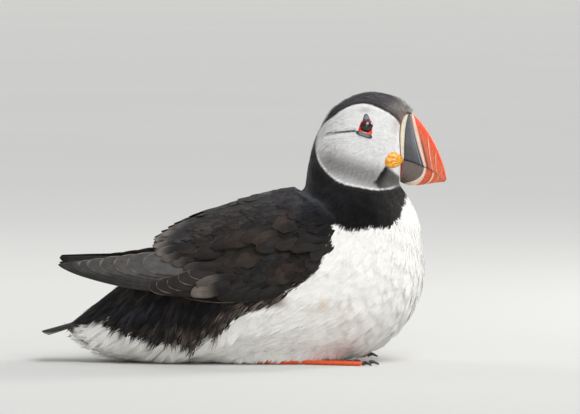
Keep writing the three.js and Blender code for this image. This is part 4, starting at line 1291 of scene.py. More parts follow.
class CoatTree:
    """The node tree that plants tufts over one area of the skin."""

    SOCKETS = (("Tufts", "Collection"), ("Area", "Int"), ("Spacing", "Float"),
               ("Density", "Float"), ("Seed", "Int"), ("Turn", "Float"), ("Tilt", "Float"),
               ("Size", "Float"), ("Patch", "Float"), ("Variants", "Int"),
               ("Finish", "Material"))

    def __init__(self) -> None:
        """Build the tree."""
        self.tree = bpy.data.node_groups.new("plumage_coat", "GeometryNodeTree")
        face = self.tree.interface
        face.new_socket("Geometry", in_out="INPUT", socket_type="NodeSocketGeometry")
        for name, kind in self.SOCKETS:
            face.new_socket(name, in_out="INPUT", socket_type="NodeSocket" + kind)
        face.new_socket("Geometry", in_out="OUTPUT", socket_type="NodeSocketGeometry")
        self.source = self._node("NodeGroupInput")
        self._fill()

    def _node(self, kind: str, inputs: Optional[dict] = None, **settings) -> bpy.types.Node:
        """Add a node with its settings, then its values and links."""
        return add_node(self.tree, kind, inputs, settings)

    def _stored(self, name: str, kind: str) -> bpy.types.NodeSocket:
        """Read a named attribute."""
        return self._node("GeometryNodeInputNamedAttribute", {"Name": name},
                          data_type=kind).outputs[0]

    def _store(self, geometry: bpy.types.NodeSocket, name: str, kind: str, domain: str,
               value: bpy.types.NodeSocket) -> bpy.types.NodeSocket:
        """Store a named attribute."""
        made = self._node("GeometryNodeStoreNamedAttribute",
                          {"Geometry": geometry, "Name": name, "Value": value},
                          data_type=kind, domain=domain)
        return made.outputs[0]

    def _random(self, low: object, high: object, seed: int) -> bpy.types.NodeSocket:
        """A random number between two limits, different for each tuft."""
        made = self._node("FunctionNodeRandomValue", {2: low, 3: high, 8: seed},
                          data_type="FLOAT")
        return made.outputs[1]

    def _maths(self, operation: str, first: object, second: object) -> bpy.types.NodeSocket:
        """Combine two numbers."""
        return self._node("ShaderNodeMath", {0: first, 1: second},
                          operation=operation).outputs[0]

    def _stray(self, limit: bpy.types.NodeSocket, seed: int) -> bpy.types.NodeSocket:
        """A random number within a limit on both sides of 0."""
        return self._random(self._maths("MULTIPLY", limit, -1.0), limit, seed)

    def _compare(self, kind: str, operation: str, first: object,
                 second: object) -> bpy.types.NodeSocket:
        """Compare two numbers of a kind, "INT" or "FLOAT"."""
        slot = 2 if kind == "INT" else 0
        return self._node("FunctionNodeCompare", {slot: first, slot + 1: second},
                          data_type=kind, operation=operation).outputs[0]

    def _vectors(self, operation: str, first: object, second: object) -> bpy.types.NodeSocket:
        """Combine two vectors, or scale a vector by a number."""
        slot = 3 if operation == "SCALE" else 1
        return self._node("ShaderNodeVectorMath", {0: first, slot: second},
                          operation=operation).outputs[0]

    def _fill(self) -> None:
        """Lay out the tree, from the skin to the finished tufts."""
        given = self.source.outputs
        here = self._compare("INT", "EQUAL", self._stored("area", "INT"), given["Area"])
        spread = self._node("GeometryNodeDistributePointsOnFaces",
                            {"Mesh": given["Geometry"], "Selection": here,
                             "Distance Min": given["Spacing"],
                             "Density Max": given["Density"], "Seed": given["Seed"]},
                            distribute_method="POISSON")
        bare = self._compare("FLOAT", "GREATER_THAN", self._stored("bare", "FLOAT"), 0.5)
        kept = self._node("GeometryNodeDeleteGeometry",
                          {"Geometry": spread.outputs["Points"], "Selection": bare},
                          domain="POINT").outputs[0]
        is_dark = self._compare("FLOAT", "GREATER_THAN", self._stored("dark", "FLOAT"), 0.0)
        pale, deep = (self._stored(name, "FLOAT_COLOR") for name in ("white_tint", "dark_tint"))
        tint = self._node("GeometryNodeSwitch", {"Switch": is_dark, "False": pale, "True": deep},
                          input_type="RGBA").outputs[0]
        kept = self._store(kept, "tint", "FLOAT_COLOR", "POINT", tint)
        kept = self._store(kept, "tone", "FLOAT", "POINT", self._random(0.0, 1.0, 3))
        flat = self._node("FunctionNodeAxesToRotation",
                          {"Primary Axis": self._stored("skin_normal", "FLOAT_VECTOR"),
                           "Secondary Axis": self._stored("lie", "FLOAT_VECTOR")},
                          primary_axis="Z", secondary_axis="X").outputs[0]
        turn, tilt = self._stray(given["Turn"], 5), self._stray(given["Tilt"], 6)
        sway = self._node("ShaderNodeCombineXYZ", {1: tilt, 2: turn}).outputs[0]
        sway = self._node("FunctionNodeEulerToRotation", {"Euler": sway}).outputs[0]
        turned = self._node("FunctionNodeRotateRotation", {"Rotation": flat, "Rotate By": sway},
                            rotation_space="LOCAL").outputs[0]
        size = self._maths("MULTIPLY", given["Size"], self._random(0.8, 1.2, 7))
        scale = self._vectors("SCALE", self._stored("blade", "FLOAT_VECTOR"), size)
        tufts = self._node("GeometryNodeCollectionInfo",
                           {"Collection": given["Tufts"], "Separate Children": True,
                            "Reset Children": True}).outputs[0]
        pick = self._node("FunctionNodeRandomValue", {4: 0, 5: given["Variants"], 8: 9},
                          data_type="INT").outputs[2]
        planted = self._node("GeometryNodeInstanceOnPoints",
                             {"Points": kept, "Instance": tufts, "Pick Instance": True,
                              "Instance Index": pick, "Rotation": turned,
                              "Scale": scale}).outputs[0]
        whole = self._node("GeometryNodeRealizeInstances", {"Geometry": planted}).outputs[0]
        centred = self._vectors("SUBTRACT", self._stored("layout", "FLOAT_VECTOR"),
                                (0.5, 0.5, 0.0))
        small = self._vectors("SCALE", centred, given["Patch"])
        patch = self._vectors("ADD", self._stored("unwrap", "FLOAT_VECTOR"), small)
        whole = self._store(whole, "OFBake", "FLOAT2", "CORNER", patch)
        dressed = self._node("GeometryNodeSetMaterial",
                             {"Geometry": whole, "Material": given["Finish"]}).outputs[0]
        self._node("NodeGroupOutput", {"Geometry": dressed})

    def identifier(self, name: str) -> str:
        """Return the identifier of an input socket, by its name."""
        for item in self.tree.interface.items_tree:
            if item.name == name and item.in_out == "INPUT":
                return item.identifier
        raise KeyError(name)


@dataclass(frozen=True)
class Coat:
    """One area's plumage.

    Attributes:
        name: The piece's name.
        area: The area of the skin that it grows on.
        shape: The shape of its tufts.
        slot: The material slot that its finish belongs to.
        finish: Its finish.
        spacing: The gap between roots, in millimetres.
        size: Size of the tufts against what the skin states.
        turn: How far tufts stray to the side, in degrees.
        tilt: How far they stray up and down, in degrees.
        softness: How much they are shaded as the skin beneath, 0 to 1.
        seed: Seed of the roots' places.
        crisp: Whether a tuft changes colour along the markings' edge.
        by_place: Whether its points are coloured by where they lie.
    """

    name: str
    area: Area
    shape: Tuft
    slot: str
    finish: object
    spacing: float
    size: float = 1.0
    turn: float = 12.0
    tilt: float = 4.0
    softness: float = 0.7
    seed: int = 1
    crisp: bool = False
    by_place: bool = True

    def build(self, skin: bpy.types.Object, tree: CoatTree,
              tufts: bpy.types.Collection) -> bpy.types.Object:
        """Plant this area's tufts on the skin.

        Args:
            skin: The skin's object.
            tree: The tree that plants tufts.
            tufts: The variants of this coat's tuft.

        Returns:
            The coat's object, as one plain mesh.
        """
        coat = link_new(self.name, skin.data.copy())
        grow = coat.modifiers.new("coat", "NODES")
        grow.node_group = tree.tree
        values = {"Tufts": tufts, "Area": self.area.value, "Spacing": self.spacing * MM,
                  "Density": ROOTS_TRIED / (self.spacing * MM) ** 2, "Seed": self.seed,
                  "Turn": math.radians(self.turn), "Tilt": math.radians(self.tilt),
                  "Size": self.size, "Patch": BAKE_PATCH,
                  "Variants": len(tufts.objects) - 1, "Finish": self.finish.material()}
        for name, value in values.items():
            grow[tree.identifier(name)] = value
        settle(coat)
        if self.by_place:
            self._colour(coat.data)
        self._soften(coat.data)
        return coat

    def _colour(self, mesh: bpy.types.Mesh) -> None:
        """Colour each tuft by where its points lie, so that small markings stay sharp."""
        marks, places = Markings(), vertex_array(mesh)
        if self.crisp:
            share = smoothstep(-0.2, 0.2, marks.darkness(places))
        else:
            dark = read_all(mesh.attributes["dark"].data, "value")
            share = (dark > 0).astype(float)
        pale, deep = marks.white_tint(places), marks.dark_tint(places)
        mesh.attributes.remove(mesh.attributes["tint"])
        paint(mesh, "tint", pale + (deep - pale) * share[:, None])

    def _soften(self, mesh: bpy.types.Mesh) -> None:
        """Keep the tufts off the ground and shade them partly as the skin beneath."""
        places = vertex_array(mesh)
        places[:, 2] = np.maximum(places[:, 2], LOWEST_TUFT)
        move_vertices(mesh, places)
        own = read_all(mesh.vertices, "normal", 3)
        under = unit(read_all(mesh.attributes["skin_normal"].data, "vector", 3))
        own[np.sum(own * under, axis=1) < 0] *= -1
        for name in ("lie", "blade", "dark", "bare", "unwrap", "layout", "skin_normal",
                     "dark_tint", "white_tint", "area"):
            layer = mesh.attributes.get(name)
            if layer is not None:
                mesh.attributes.remove(layer)
        mesh.shade_smooth()
        mesh.normals_split_custom_set_from_vertices(
            unit(own * (1 - self.softness) + under * self.softness).tolist())


# ------------------------------------------------------------------ feathers laid one by one

Ground = Callable[[float, float, int], tuple[Vector, Vector]]


@dataclass(frozen=True)
class Sheet:
    """A curved sheet beside the body, by its upper and lower edges, [x, y, z] each."""

    upper: tuple
    lower: tuple
    bulge: tuple

    def half_width(self, x: float, z: float) -> float:
        """Return how far the sheet stands from the middle plane at a place."""
        up, low = np.array(self.upper), np.array(self.lower)
        high, deep = np.interp(x, up[:, 0], up[:, 2]), np.interp(x, low[:, 0], low[:, 2])
        share = (high - z) / max(1.0, high - deep)
        y = np.interp(x, up[:, 0], up[:, 1])
        y += (np.interp(x, low[:, 0], low[:, 1]) - y) * min(1.25, max(-0.25, share))
        arch = math.sin(math.pi * min(1, max(0, share))) ** 0.7 if 0 < share < 1 else 0.0
        return float(y + arch * np.interp(x, up[:, 0], self.bulge) + 0.4)

    def ground(self, x: float, z: float, side: int) -> tuple[Vector, Vector]:
        """Return the sheet's point and outward normal at a place in side view."""
        step = 1.5
        here = self.half_width(x, z)
        slope_x = (self.half_width(x + step, z) - self.half_width(x - step, z)) / (2 * step)
        slope_z = (self.half_width(x, z + step) - self.half_width(x, z - step)) / (2 * step)
        normal = Vector((-slope_x, side, -slope_z)).normalized()
        return Vector((x, side * here, z)), normal


def ground_on(carrier: Carrier, fallback: float = 20.0) -> Ground:
    """Make a ground that finds its points on a carrier seen from the side.

    Args:
        carrier: What the feathers lie on.
        fallback: The half width where nothing was met yet.

    Returns:
        The ground.
    """
    last = {"y": fallback, "normal": Vector((0, 1, 0))}

    def ground(x: float, z: float, side: int) -> tuple[Vector, Vector]:
        """Return the point and outward normal at a place in side view."""
        found = carrier.beside(x, z, side)
        if found is not None:
            last["y"] = abs(found[0].y)
            last["normal"] = found[1].copy()
            return found[0], found[1]
        last["y"] = max(1.0, last["y"] - 0.12)
        return Vector((x, side * last["y"], z)), last["normal"]
    return ground


@dataclass(frozen=True)
class Feather:
    """One feather: its shaft in side view from root to tip, and its size.

    Attributes:
        shaft: Three or four control points, [x, z].
        half: Half width of the vane at its widest.
        lift: Height of the shaft over the ground that it lies on, at root and tip.
        tip: Length of the rounded end, as a share of the whole.
        tint: Colour of the vane towards its tip.
        tone: Place between dark and light, 0 to 1.
        camber: How far the vane's edges lie under its shaft.
        skew: How far the vane's middle lies off its shaft, as a share of its half width.
        base: Colour towards the root, if it is another.
        pale_from: Place along the vane where the colour at the tip starts.
        rim: Place along the vane where its pale margin starts; over 1 for none.
    """

    shaft: tuple
    half: float
    lift: tuple = (0.0, 0.6)
    tip: float = 0.3
    tint: Colour = srgb(70, 66, 64)
    tone: float = 0.5
    camber: float = 0.5
    skew: float = 0.0
    base: Optional[Colour] = None
    pale_from: float = 0.55
    rim: float = 0.7

    def grid(self, ground: Ground, side: int, rows: int = 22,
             columns: int = 9) -> tuple[Points, Points, np.ndarray, np.ndarray]:
        """Lay the feather on its ground.

        Args:
            ground: What the feather lies on.
            side: -1 for the bird's right side, 1 for its left.
            rows: Number of steps along the shaft.
            columns: Number of steps from side to side.

        Returns:
            Points, normals, and each point's place along and across the vane.
        """
        steps = 1 - (1 - np.linspace(0, 1, rows)) ** 1.35
        line = bezier(self.shaft, steps)
        centre, normal = [], []
        for x, z in line:
            place, outward = ground(float(x), float(z), side)
            centre.append(tuple(place))
            normal.append(tuple(outward))
        centre, normal = np.array(centre), np.array(normal)
        for _ in range(3):
            centre[1:-1, 1] = (centre[:-2, 1] + centre[1:-1, 1] + centre[2:, 1]) / 3
            normal[1:-1] = (normal[:-2] + normal[1:-1] + normal[2:]) / 3
        normal = unit(normal)
        heading = unit(np.gradient(centre, axis=0))
        sideways = unit(np.cross(normal, heading)) * side
        t = steps[:, None]
        s = np.linspace(-1, 1, columns)[None, :]
        end = np.clip((t - (1 - self.tip)) / self.tip, 0, 1)
        full = self.half * np.minimum(1, 0.55 + 2 * t) * np.sqrt(np.maximum(0, 1 - end**2.2))
        full = np.maximum(full, 0.04)
        height = self.lift[0] + (self.lift[1] - self.lift[0]) * np.minimum(1, 1.5 * t)
        height = height - self.camber * s * s * np.minimum(1, full / self.half + 0.2)
        drift = self.skew * full * (1 - s * s)
        points = (centre[:, None, :] + sideways[:, None, :] * (s * full + drift)[..., None]
                  + normal[:, None, :] * height[..., None])
        normals = np.broadcast_to(normal[:, None, :], points.shape)
        return (points, normals, np.broadcast_to(t, points.shape[:2]),
                np.broadcast_to(s, points.shape[:2]))


class FeatherRow:
    """Feathers gathered into one piece, each a closed thin shell."""

    def __init__(self, name: str, finish: object) -> None:
        """Start an empty row."""
        self.name = name
        self.finish = finish
        self.points: list = []
        self.faces: list = []
        self.layers: dict[str, list] = {"along": [], "across": [], "tone": [], "rim": []}
        self.tints: list = []
        self.roots: list = []
        self.counts: list = []

    def add(self, points: Points, normals: Points, along: np.ndarray, across: np.ndarray,
            tint: np.ndarray, tone: float, rim: float = 0.7, thickness: float = 0.22) -> None:
        """Add a vane given as a grid of points, and close it with an underside.

        Args:
            points: Grid of points, rows by columns.
            normals: Outward normal at each.
            along: Place along the vane.
            across: Place across it.
            tint: The vane's colour, one for all or one for each point.
            tone: Place between dark and light.
            rim: Where along the vane its pale margin starts.
            thickness: Thickness at the shaft, in millimetres.
        """
        rows, columns = points.shape[:2]
        fade = thickness * (1 - 0.75 * np.abs(across))
        under = points - normals * fade[..., None]
        start = len(self.points)
        self.points += points.reshape(-1, 3).tolist() + under.reshape(-1, 3).tolist()
        below = start + rows * columns
        self.faces += grid_faces(rows, columns, start=start)
        self.faces += [tuple(reversed(f)) for f in grid_faces(rows, columns, start=below)]
        loop = [i * columns for i in range(rows)]
        loop += [(rows - 1) * columns + j for j in range(1, columns)]
        loop += [i * columns + columns - 1 for i in range(rows - 2, -1, -1)]
        loop += list(range(columns - 2, 0, -1))
        for a, b in zip(loop, loop[1:] + loop[:1]):
            self.faces.append((start + a, start + b, below + b, below + a))
        for name, values in (("along", along), ("across", across)):
            flat = np.asarray(values).ravel().tolist()
            self.layers[name] += flat + flat
        count = 2 * rows * columns
        self.roots.append(points[0, columns // 2])
        self.counts.append(count)
        self.layers["tone"] += [tone] * count
        self.layers["rim"] += [rim] * count
        full = np.broadcast_to(np.asarray(tint, float), (rows, columns, 3)).reshape(-1, 3)
        self.tints += full.tolist() * 2

    def lay(self, feather: Feather, ground: Ground, side: int, rows: int = 22,
            columns: int = 9) -> None:
        """Lay one feather on its ground and add it."""
        points, normals, along, across = feather.grid(ground, side, rows, columns)
        base = feather.tint if feather.base is None else feather.base
        tint = blend(even_tint(base, *along.shape), feather.tint,
                     smoothstep(feather.pale_from, feather.pale_from + 0.3, along))
        self.add(points, normals, along, across, tint, feather.tone, feather.rim)

    def finished(self) -> bpy.types.Object:
        """Return the row as one object, its faces turned outwards."""
        places = np.array(self.points)
        places[:, 2] = np.maximum(places[:, 2], LOWEST_VANE)
        made = make_object(self.name, places, self.faces, np.array(self.tints))
        for name, values in self.layers.items():
            store(made.data, name, values)
        turn_out(made)
        self._patch(made.data)
        made.data.materials.append(self.finish.material())
        return made

    def _patch(self, mesh: bpy.types.Mesh) -> None:
        """Give each feather a small patch of the skin's unwrap, at its root's place."""
        skin = SkinMap.of_skin()
        spots = np.repeat([skin.at(root) for root in self.roots], self.counts, axis=0)
        across, along = (np.array(self.layers[name]) for name in ("across", "along"))
        spots = spots + BAKE_PATCH * np.stack([0.5 * across, along - 0.5], axis=1)
        vertices = read_all(mesh.loops, "vertex_index", kind=np.int32)
        mesh.uv_layers.new(name="OFBake").data.foreach_set(
            "uv", spots[vertices].astype(np.float32).ravel())


@dataclass
class Fringe:
    """Loose locks where the dark flanks end over the white, and under the tail."""

    flank_gap: float = 0.75
    flank_start: float = 26.0
    vent_locks: int = 170
    seed: int = 77
    markings: Markings = Markings()
    lie: CoatLie = CoatLie()

    def build(self) -> None:
        """Build and mount the dark fringe of the flanks and the white one of the vent."""
        carrier = Carrier.of_nodes("trunk")
        mount(self._flanks(carrier), "plumage_black")
        mount(self._vent(carrier), "plumage_white")

    def _flanks(self, carrier: Carrier) -> bpy.types.Object:
        """Lay dark locks along the border between the flanks and the underparts."""
        finish = DownFinish("flank_fringe", sheen=0.05, specular=0.16, tone_low=0.7,
                            tone_high=1.5)
        row = FeatherRow("flank_fringe", finish)
        rng = np.random.default_rng(self.seed)
        border = np.asarray(self.markings.underparts[:12], float)
        reach = np.concatenate([[0], np.cumsum(np.linalg.norm(np.diff(border, axis=0), axis=1))])
        for _, side in SIDES:
            for along in np.arange(self.flank_start, reach[-1], self.flank_gap):
                x, z = (float(np.interp(along, reach, border[:, k])) for k in (0, 1))
                found = carrier.beside(x, z + 1.8, side)
                if found is None:
                    continue
                place, normal = np.array(found[0]), np.array(found[1])
                way = self.lie.directions(place[None], normal[None])[0]
                length = rng.uniform(7, 13)
                past = rng.uniform(0.5, 3.6)
                brown = rng.uniform(0, 1) ** 2 * (0.35 + 0.65 * float(smoothstep(-45, 0, x)))
                tint = blend(np.array([self.markings.flank]), srgb(112, 99, 88), [brown])[0]
                self._lock(row, carrier, place + way * (past - length), way, length,
                           rng.uniform(0.4, 0.8), tint, rng.uniform(0, 1), (-1.3, -0.1, -0.2),
                           rng.uniform(-0.9, 0.9))
        return row.finished()

    def _vent(self, carrier: Carrier) -> bpy.types.Object:
        """Lay white locks that hang a little below the body under the tail."""
        finish = DownFinish("vent_fringe", tone_low=0.92, tone_high=1.02, root_shade=0.92)
        row = FeatherRow("vent_fringe", finish)
        rng = np.random.default_rng(self.seed + 1)
        for _ in range(self.vent_locks):
            x, y = rng.uniform(-97, -58), rng.uniform(-20, 20)
            hit = carrier.tree.ray_cast(Vector((x, y, -20)), Vector((0, 0, 1)))[0]
            length, fall = rng.uniform(8, 13), rng.uniform(0.4, 3.2)
            lean = 0.012 * y
            if hit is None:
                continue
            self._lock(row, carrier, np.array(hit), unit(np.array([-1.0, lean, 0.1])), length,
                       rng.uniform(0.6, 1.1), np.array(srgb(240, 238, 233)),
                       rng.uniform(0, 1), (-1.2, 0.3, fall), rng.uniform(-1, 1))
        return row.finished()

    @staticmethod
    def _lock(row: FeatherRow, carrier: Carrier, root: np.ndarray, way: np.ndarray,
              length: float, half: float, tint: np.ndarray, tone: float, lifts: tuple,
              bend: float) -> None:
        """Lay one tapering lock along the body.

        Args:
            row: The row that it joins.
            carrier: The body that it follows.
            root: Where it starts.
            way: The way it runs, as a unit vector.
            length: Its length.
            half: Half its width at the widest.
            tint: Its colour.
            tone: Place between dark and light.
            lifts: Its height over the body at root, middle and tip.
            bend: How far its middle strays sideways.
        """
        steps = np.linspace(0, 1, 8)
        hits = [carrier.nearest(root + way * length * t)[:2] for t in steps]
        line, normals = (np.array([tuple(hit[k]) for hit in hits]) for k in (0, 1))
        for _ in range(2):
            normals[1:-1] = (normals[:-2] + normals[1:-1] + normals[2:]) / 3
        normals = unit(normals)
        sideways = unit(np.cross(normals, unit(np.gradient(line, axis=0))))
        line = line + sideways * (bend * np.sin(math.pi * 0.8 * steps))[:, None]
        line = line + normals * np.interp(steps, (0, 0.5, 1), lifts)[:, None]
        across = np.array([-1.0, 0.0, 1.0])
        full = np.maximum(half * np.minimum(1, 0.5 + 3 * steps) * (1 - steps) ** 0.7, 0.03)
        points = line[:, None] + sideways[:, None] * (full[:, None] * across)[..., None]
        points = points + normals[:, None] * (0.12 * (1 - np.abs(across)))[None, :, None]
        grid = points.shape[:2]
        row.add(points, np.broadcast_to(normals[:, None], points.shape),
                np.broadcast_to(steps[:, None], grid), np.broadcast_to(across[None], grid),
                tint, tone, thickness=0.15)


@dataclass
class Wing:
    """The folded wings' long feathers, both sides alike."""

    primary_tips: tuple = (
        (-57.2, 58.2, 8.8), (-66.5, 58.3, 8.6), (-74.4, 58.0, 7.9), (-82.7, 57.7, 7.0),
        (-90.3, 57.4, 5.8), (-95.8, 57.0, 4.8), (-99.5, 57.0, 4.2), (-102.6, 57.0, 3.6),
        (-105.4, 57.0, 3.0), (-107.4, 57.0, 2.5))
    secondary_tips: tuple = (
        (-54.0, 44.4, 5.0), (-49.6, 45.2, 5.0), (-43.3, 46.4, 5.2), (-37.0, 48.8, 5.0),
        (-31.0, 51.0, 4.6))
    tertial_tips: tuple = (
        (-36.0, 80.4, 3.0), (-40.5, 78.4, 3.0), (-43.9, 76.2, 3.2), (-47.8, 73.4, 3.4),
        (-51.4, 70.2, 3.6), (-52.4, 66.4, 3.8), (-50.8, 62.8, 3.8), (-46.8, 59.6, 3.6),
        (-40.8, 57.0, 3.4), (-34.0, 54.4, 3.2))
    covert_tips: tuple = (
        (8.0, 39.0, 3.6, 0.0), (0.0, 37.8, 4.0, 0.0), (-8.0, 37.4, 4.2, 0.0),
        (-15.2, 38.2, 4.4, 0.05), (-26.4, 45.2, 3.0, 0.75), (-29.0, 40.2, 4.1, 1.0))
    scapular_tips: tuple = (
        (29.5, 68.4, 3.4, 0.0), (27.0, 64.8, 4.4, 0.1), (19.0, 65.8, 3.8, 0.3),
        (7.4, 65.0, 4.8, 0.1), (5.0, 69.4, 4.0, 0.8), (-2.0, 70.6, 4.4, 0.5),
        (-10.8, 68.6, 5.2, 0.5), (-19.0, 66.4, 3.8, 0.1), (-27.5, 61.2, 4.6, 0.2))
    primary_sheet: Sheet = Sheet(
        upper=((-107.5, 8.5, 58.2), (-102, 8, 62.2), (-84, 9, 64.4), (-64, 12.5, 66.6),
               (-44, 19, 68.4), (-24, 27, 66)),
        lower=((-107.5, 10.5, 57.2), (-102, 12.5, 55.6), (-84, 20, 50.4), (-64, 29.5, 46.4),
               (-44, 37.5, 43.6), (-24, 43, 41)),
        bulge=(0.9, 1.6, 2.8, 3.8, 4.2, 3.6))
    secondary_sheet: Sheet = Sheet(
        upper=((-55.5, 33.6, 46.2), (-48, 34.2, 53.6), (-38, 36.5, 56.8), (-25, 38.6, 57)),
        lower=((-55.5, 35.2, 44.4), (-48, 38.8, 42.4), (-38, 42.2, 40.8), (-25, 45.2, 39.5)),
        bulge=(0.9, 2.2, 2.8, 2.6))

    def build(self) -> None:
        """Build and mount the long feathers of both wings."""
        vane = VaneFinish("flight_vane", srgb(176, 162, 148), 0.8)
        dark = VaneFinish("shoulder_vane", srgb(120, 110, 104), 0.6)
        for name, side in SIDES:
            for lay, finish, slot, node in (
                    (self._primaries, vane, "plumage_brown_black", "primaries"),
                    (self._secondaries, vane, "plumage_brown_black", "secondaries"),
                    (self._tertials, dark, "plumage_brown_black", "scapulars"),
                    (self._coverts, dark, "plumage_black", "wing_coverts"),
                    (self._scapulars, dark, "plumage_brown_black", "scapulars")):
                mount(lay(name, side, finish), slot, f"{node}_{name}")

    def _raised(self, x: float, z: float, sheet: Sheet) -> float:
        """Return the true height of a place given as a low side view shows it."""
        return z + VIEW_DROP * sheet.half_width(x, z)

    def _primaries(self, name: str, side: int, finish: VaneFinish) -> bpy.types.Object:
        """Lay the primaries, the outermost first and lowest."""
        row = FeatherRow(f"primary_feathers_{name}", finish)
        sheet = self.primary_sheet
        web = Feather(shaft=((-50, 60.4), (-80, 62.0), (-106.4, 60.8)), half=2.8,
                      lift=(-1.9, -1.4), tip=0.16, tint=srgb(12, 11, 11), tone=0.1,
                      camber=0.2, rim=2.0)
        row.lay(web, sheet.ground, side)
        count = len(self.primary_tips)
        for index in range(count - 1, -1, -1):
            x, z, half = self.primary_tips[index]
            z = self._raised(x, z, sheet)
            share = index / (count - 1)
            root_z = 57.5 - 12.5 * share**0.8
            middle = ((x - 26) / 2, z + (root_z - z) * (0.55 + 0.5 * share) - 1.5 * share)
            shade = 84 - 20 * share
            margin = 2.0 if index >= 6 else 1 - 11.0 / (abs(x) - 26)
            row.lay(Feather(
                shaft=((-26, root_z), middle, (x, z)), half=half,
                lift=(1.0 - 1.9 * share, 1.3 - 2.1 * share),
                tip=min(0.5, 15.0 / (abs(x) - 26)),
                tint=srgb(shade, shade - 3, shade - 5), tone=0.55 - 0.15 * (index % 2),
                camber=0.15 + 0.03 * half, rim=margin), sheet.ground, side, 26, 11)
        return row.finished()

    def _secondaries(self, name: str, side: int, finish: VaneFinish) -> bpy.types.Object:
        """Lay the secondaries' rounded ends, the rearmost lowest."""
        row = FeatherRow(f"secondary_feathers_{name}", finish)
        sheet = self.secondary_sheet
        for index, (x, z, half) in enumerate(self.secondary_tips):
            z = self._raised(x, z, sheet)
            row.lay(Feather(
                shaft=((x + 34, z - 1.5), (x + 14, z - 0.8), (x, z)), half=half,
                lift=(0.2 + 0.3 * index, 0.5 + 0.45 * index), tip=0.36,
                tint=srgb(42, 37, 35), tone=0.45 + 0.1 * (index % 2), camber=0.6,
                skew=0.25, rim=0.68), sheet.ground, side)
        return row.finished()

    def _tertials(self, name: str, side: int, finish: VaneFinish) -> bpy.types.Object:
        """Lay the pale-edged feathers that end the scapulars."""
        row = FeatherRow(f"tertial_feathers_{name}", finish)
        carrier = Carrier.of_nodes(f"scapulars_{name}", f"wing_coverts_{name}", "trunk",
                                   f"primaries_{name}")
        ground = ground_on(carrier, 20.0)
        for index, (x, z, half) in enumerate(self.tertial_tips):
            z = z + VIEW_DROP * (12 + 1.6 * index)
            share = index / (len(self.tertial_tips) - 1)
            climb = 5.5 - 3.0 * share
            pale = 1 - abs(index - 4) / 6
            row.lay(Feather(
                shaft=((x + 27, z + climb), (x + 13, z + 0.6 * climb), (x, z)), half=half,
                lift=(-2.6, 0.2 + 0.16 * index), tip=0.26, base=srgb(38, 34, 33),
                tint=srgb(56 + 72 * pale, 51 + 68 * pale, 49 + 62 * pale), tone=0.5,
                camber=0.6, pale_from=0.6, rim=0.6), ground, side, 16, 9)
        return row.finished()

    def _coverts(self, name: str, side: int, finish: VaneFinish) -> bpy.types.Object:
        """Lay the pale lobes of the greater coverts along the wing's lower rear."""
        row = FeatherRow(f"greater_coverts_{name}", finish)
        carrier = Carrier.of_nodes(f"wing_coverts_{name}", f"secondaries_{name}", "trunk")
        ground = ground_on(carrier, 40.0)
        for x, z, half, pale in self.covert_tips:
            z = z + VIEW_DROP * 42
            row.lay(Feather(
                shaft=((x + 22, z + 5.0), (x + 10, z + 2.4), (x, z)), half=half,
                lift=(3.9 * pale - 2.6, 1.2 + 3.4 * pale), tip=0.36, base=srgb(31, 28, 27),
                tint=srgb(32 + 74 * pale, 29 + 69 * pale, 28 + 62 * pale), tone=0.5,
                camber=0.7, pale_from=0.3, rim=0.5 if pale > 0.5 else 2.0), ground, side,
                14, 9)
        for shaft in (((-8, 36.9), (-20, 36.6), (-34.4, 39.9)),
                      ((12, 38.9), (-2, 36.7), (-19, 37.1))):
            hem = Feather(shaft=shaft, half=0.36, lift=(0.0, 0.5), tip=0.4,
                          tint=srgb(92, 78, 62), camber=0.1, rim=2.0)
            row.lay(hem, ground, side, 20, 5)
        return row.finished()

    def _scapulars(self, name: str, side: int, finish: VaneFinish) -> bpy.types.Object:
        """Lay the larger feathers whose ends overhang the coverts in a fold."""
        row = FeatherRow(f"scapular_feathers_{name}", finish)
        carrier = Carrier.of_nodes(f"scapulars_{name}", f"wing_coverts_{name}", "trunk")
        ground = ground_on(carrier, 40.0)
        for x, z, half, brown in self.scapular_tips:
            z = z + VIEW_DROP * 44
            row.lay(Feather(
                shaft=((x + 23, z + 7.0), (x + 11, z + 2.6), (x, z)), half=half,
                lift=(-2.4, 1.7 - 0.6 * brown), tip=0.42, base=srgb(26, 23, 22),
                tint=srgb(34 + 30 * brown, 30 + 20 * brown, 28 + 15 * brown),
                tone=0.35 + 0.3 * brown, camber=0.55, skew=0.3 * brown - 0.2,
                pale_from=0.3, rim=0.78), ground, side, 14, 9)
        return row.finished()


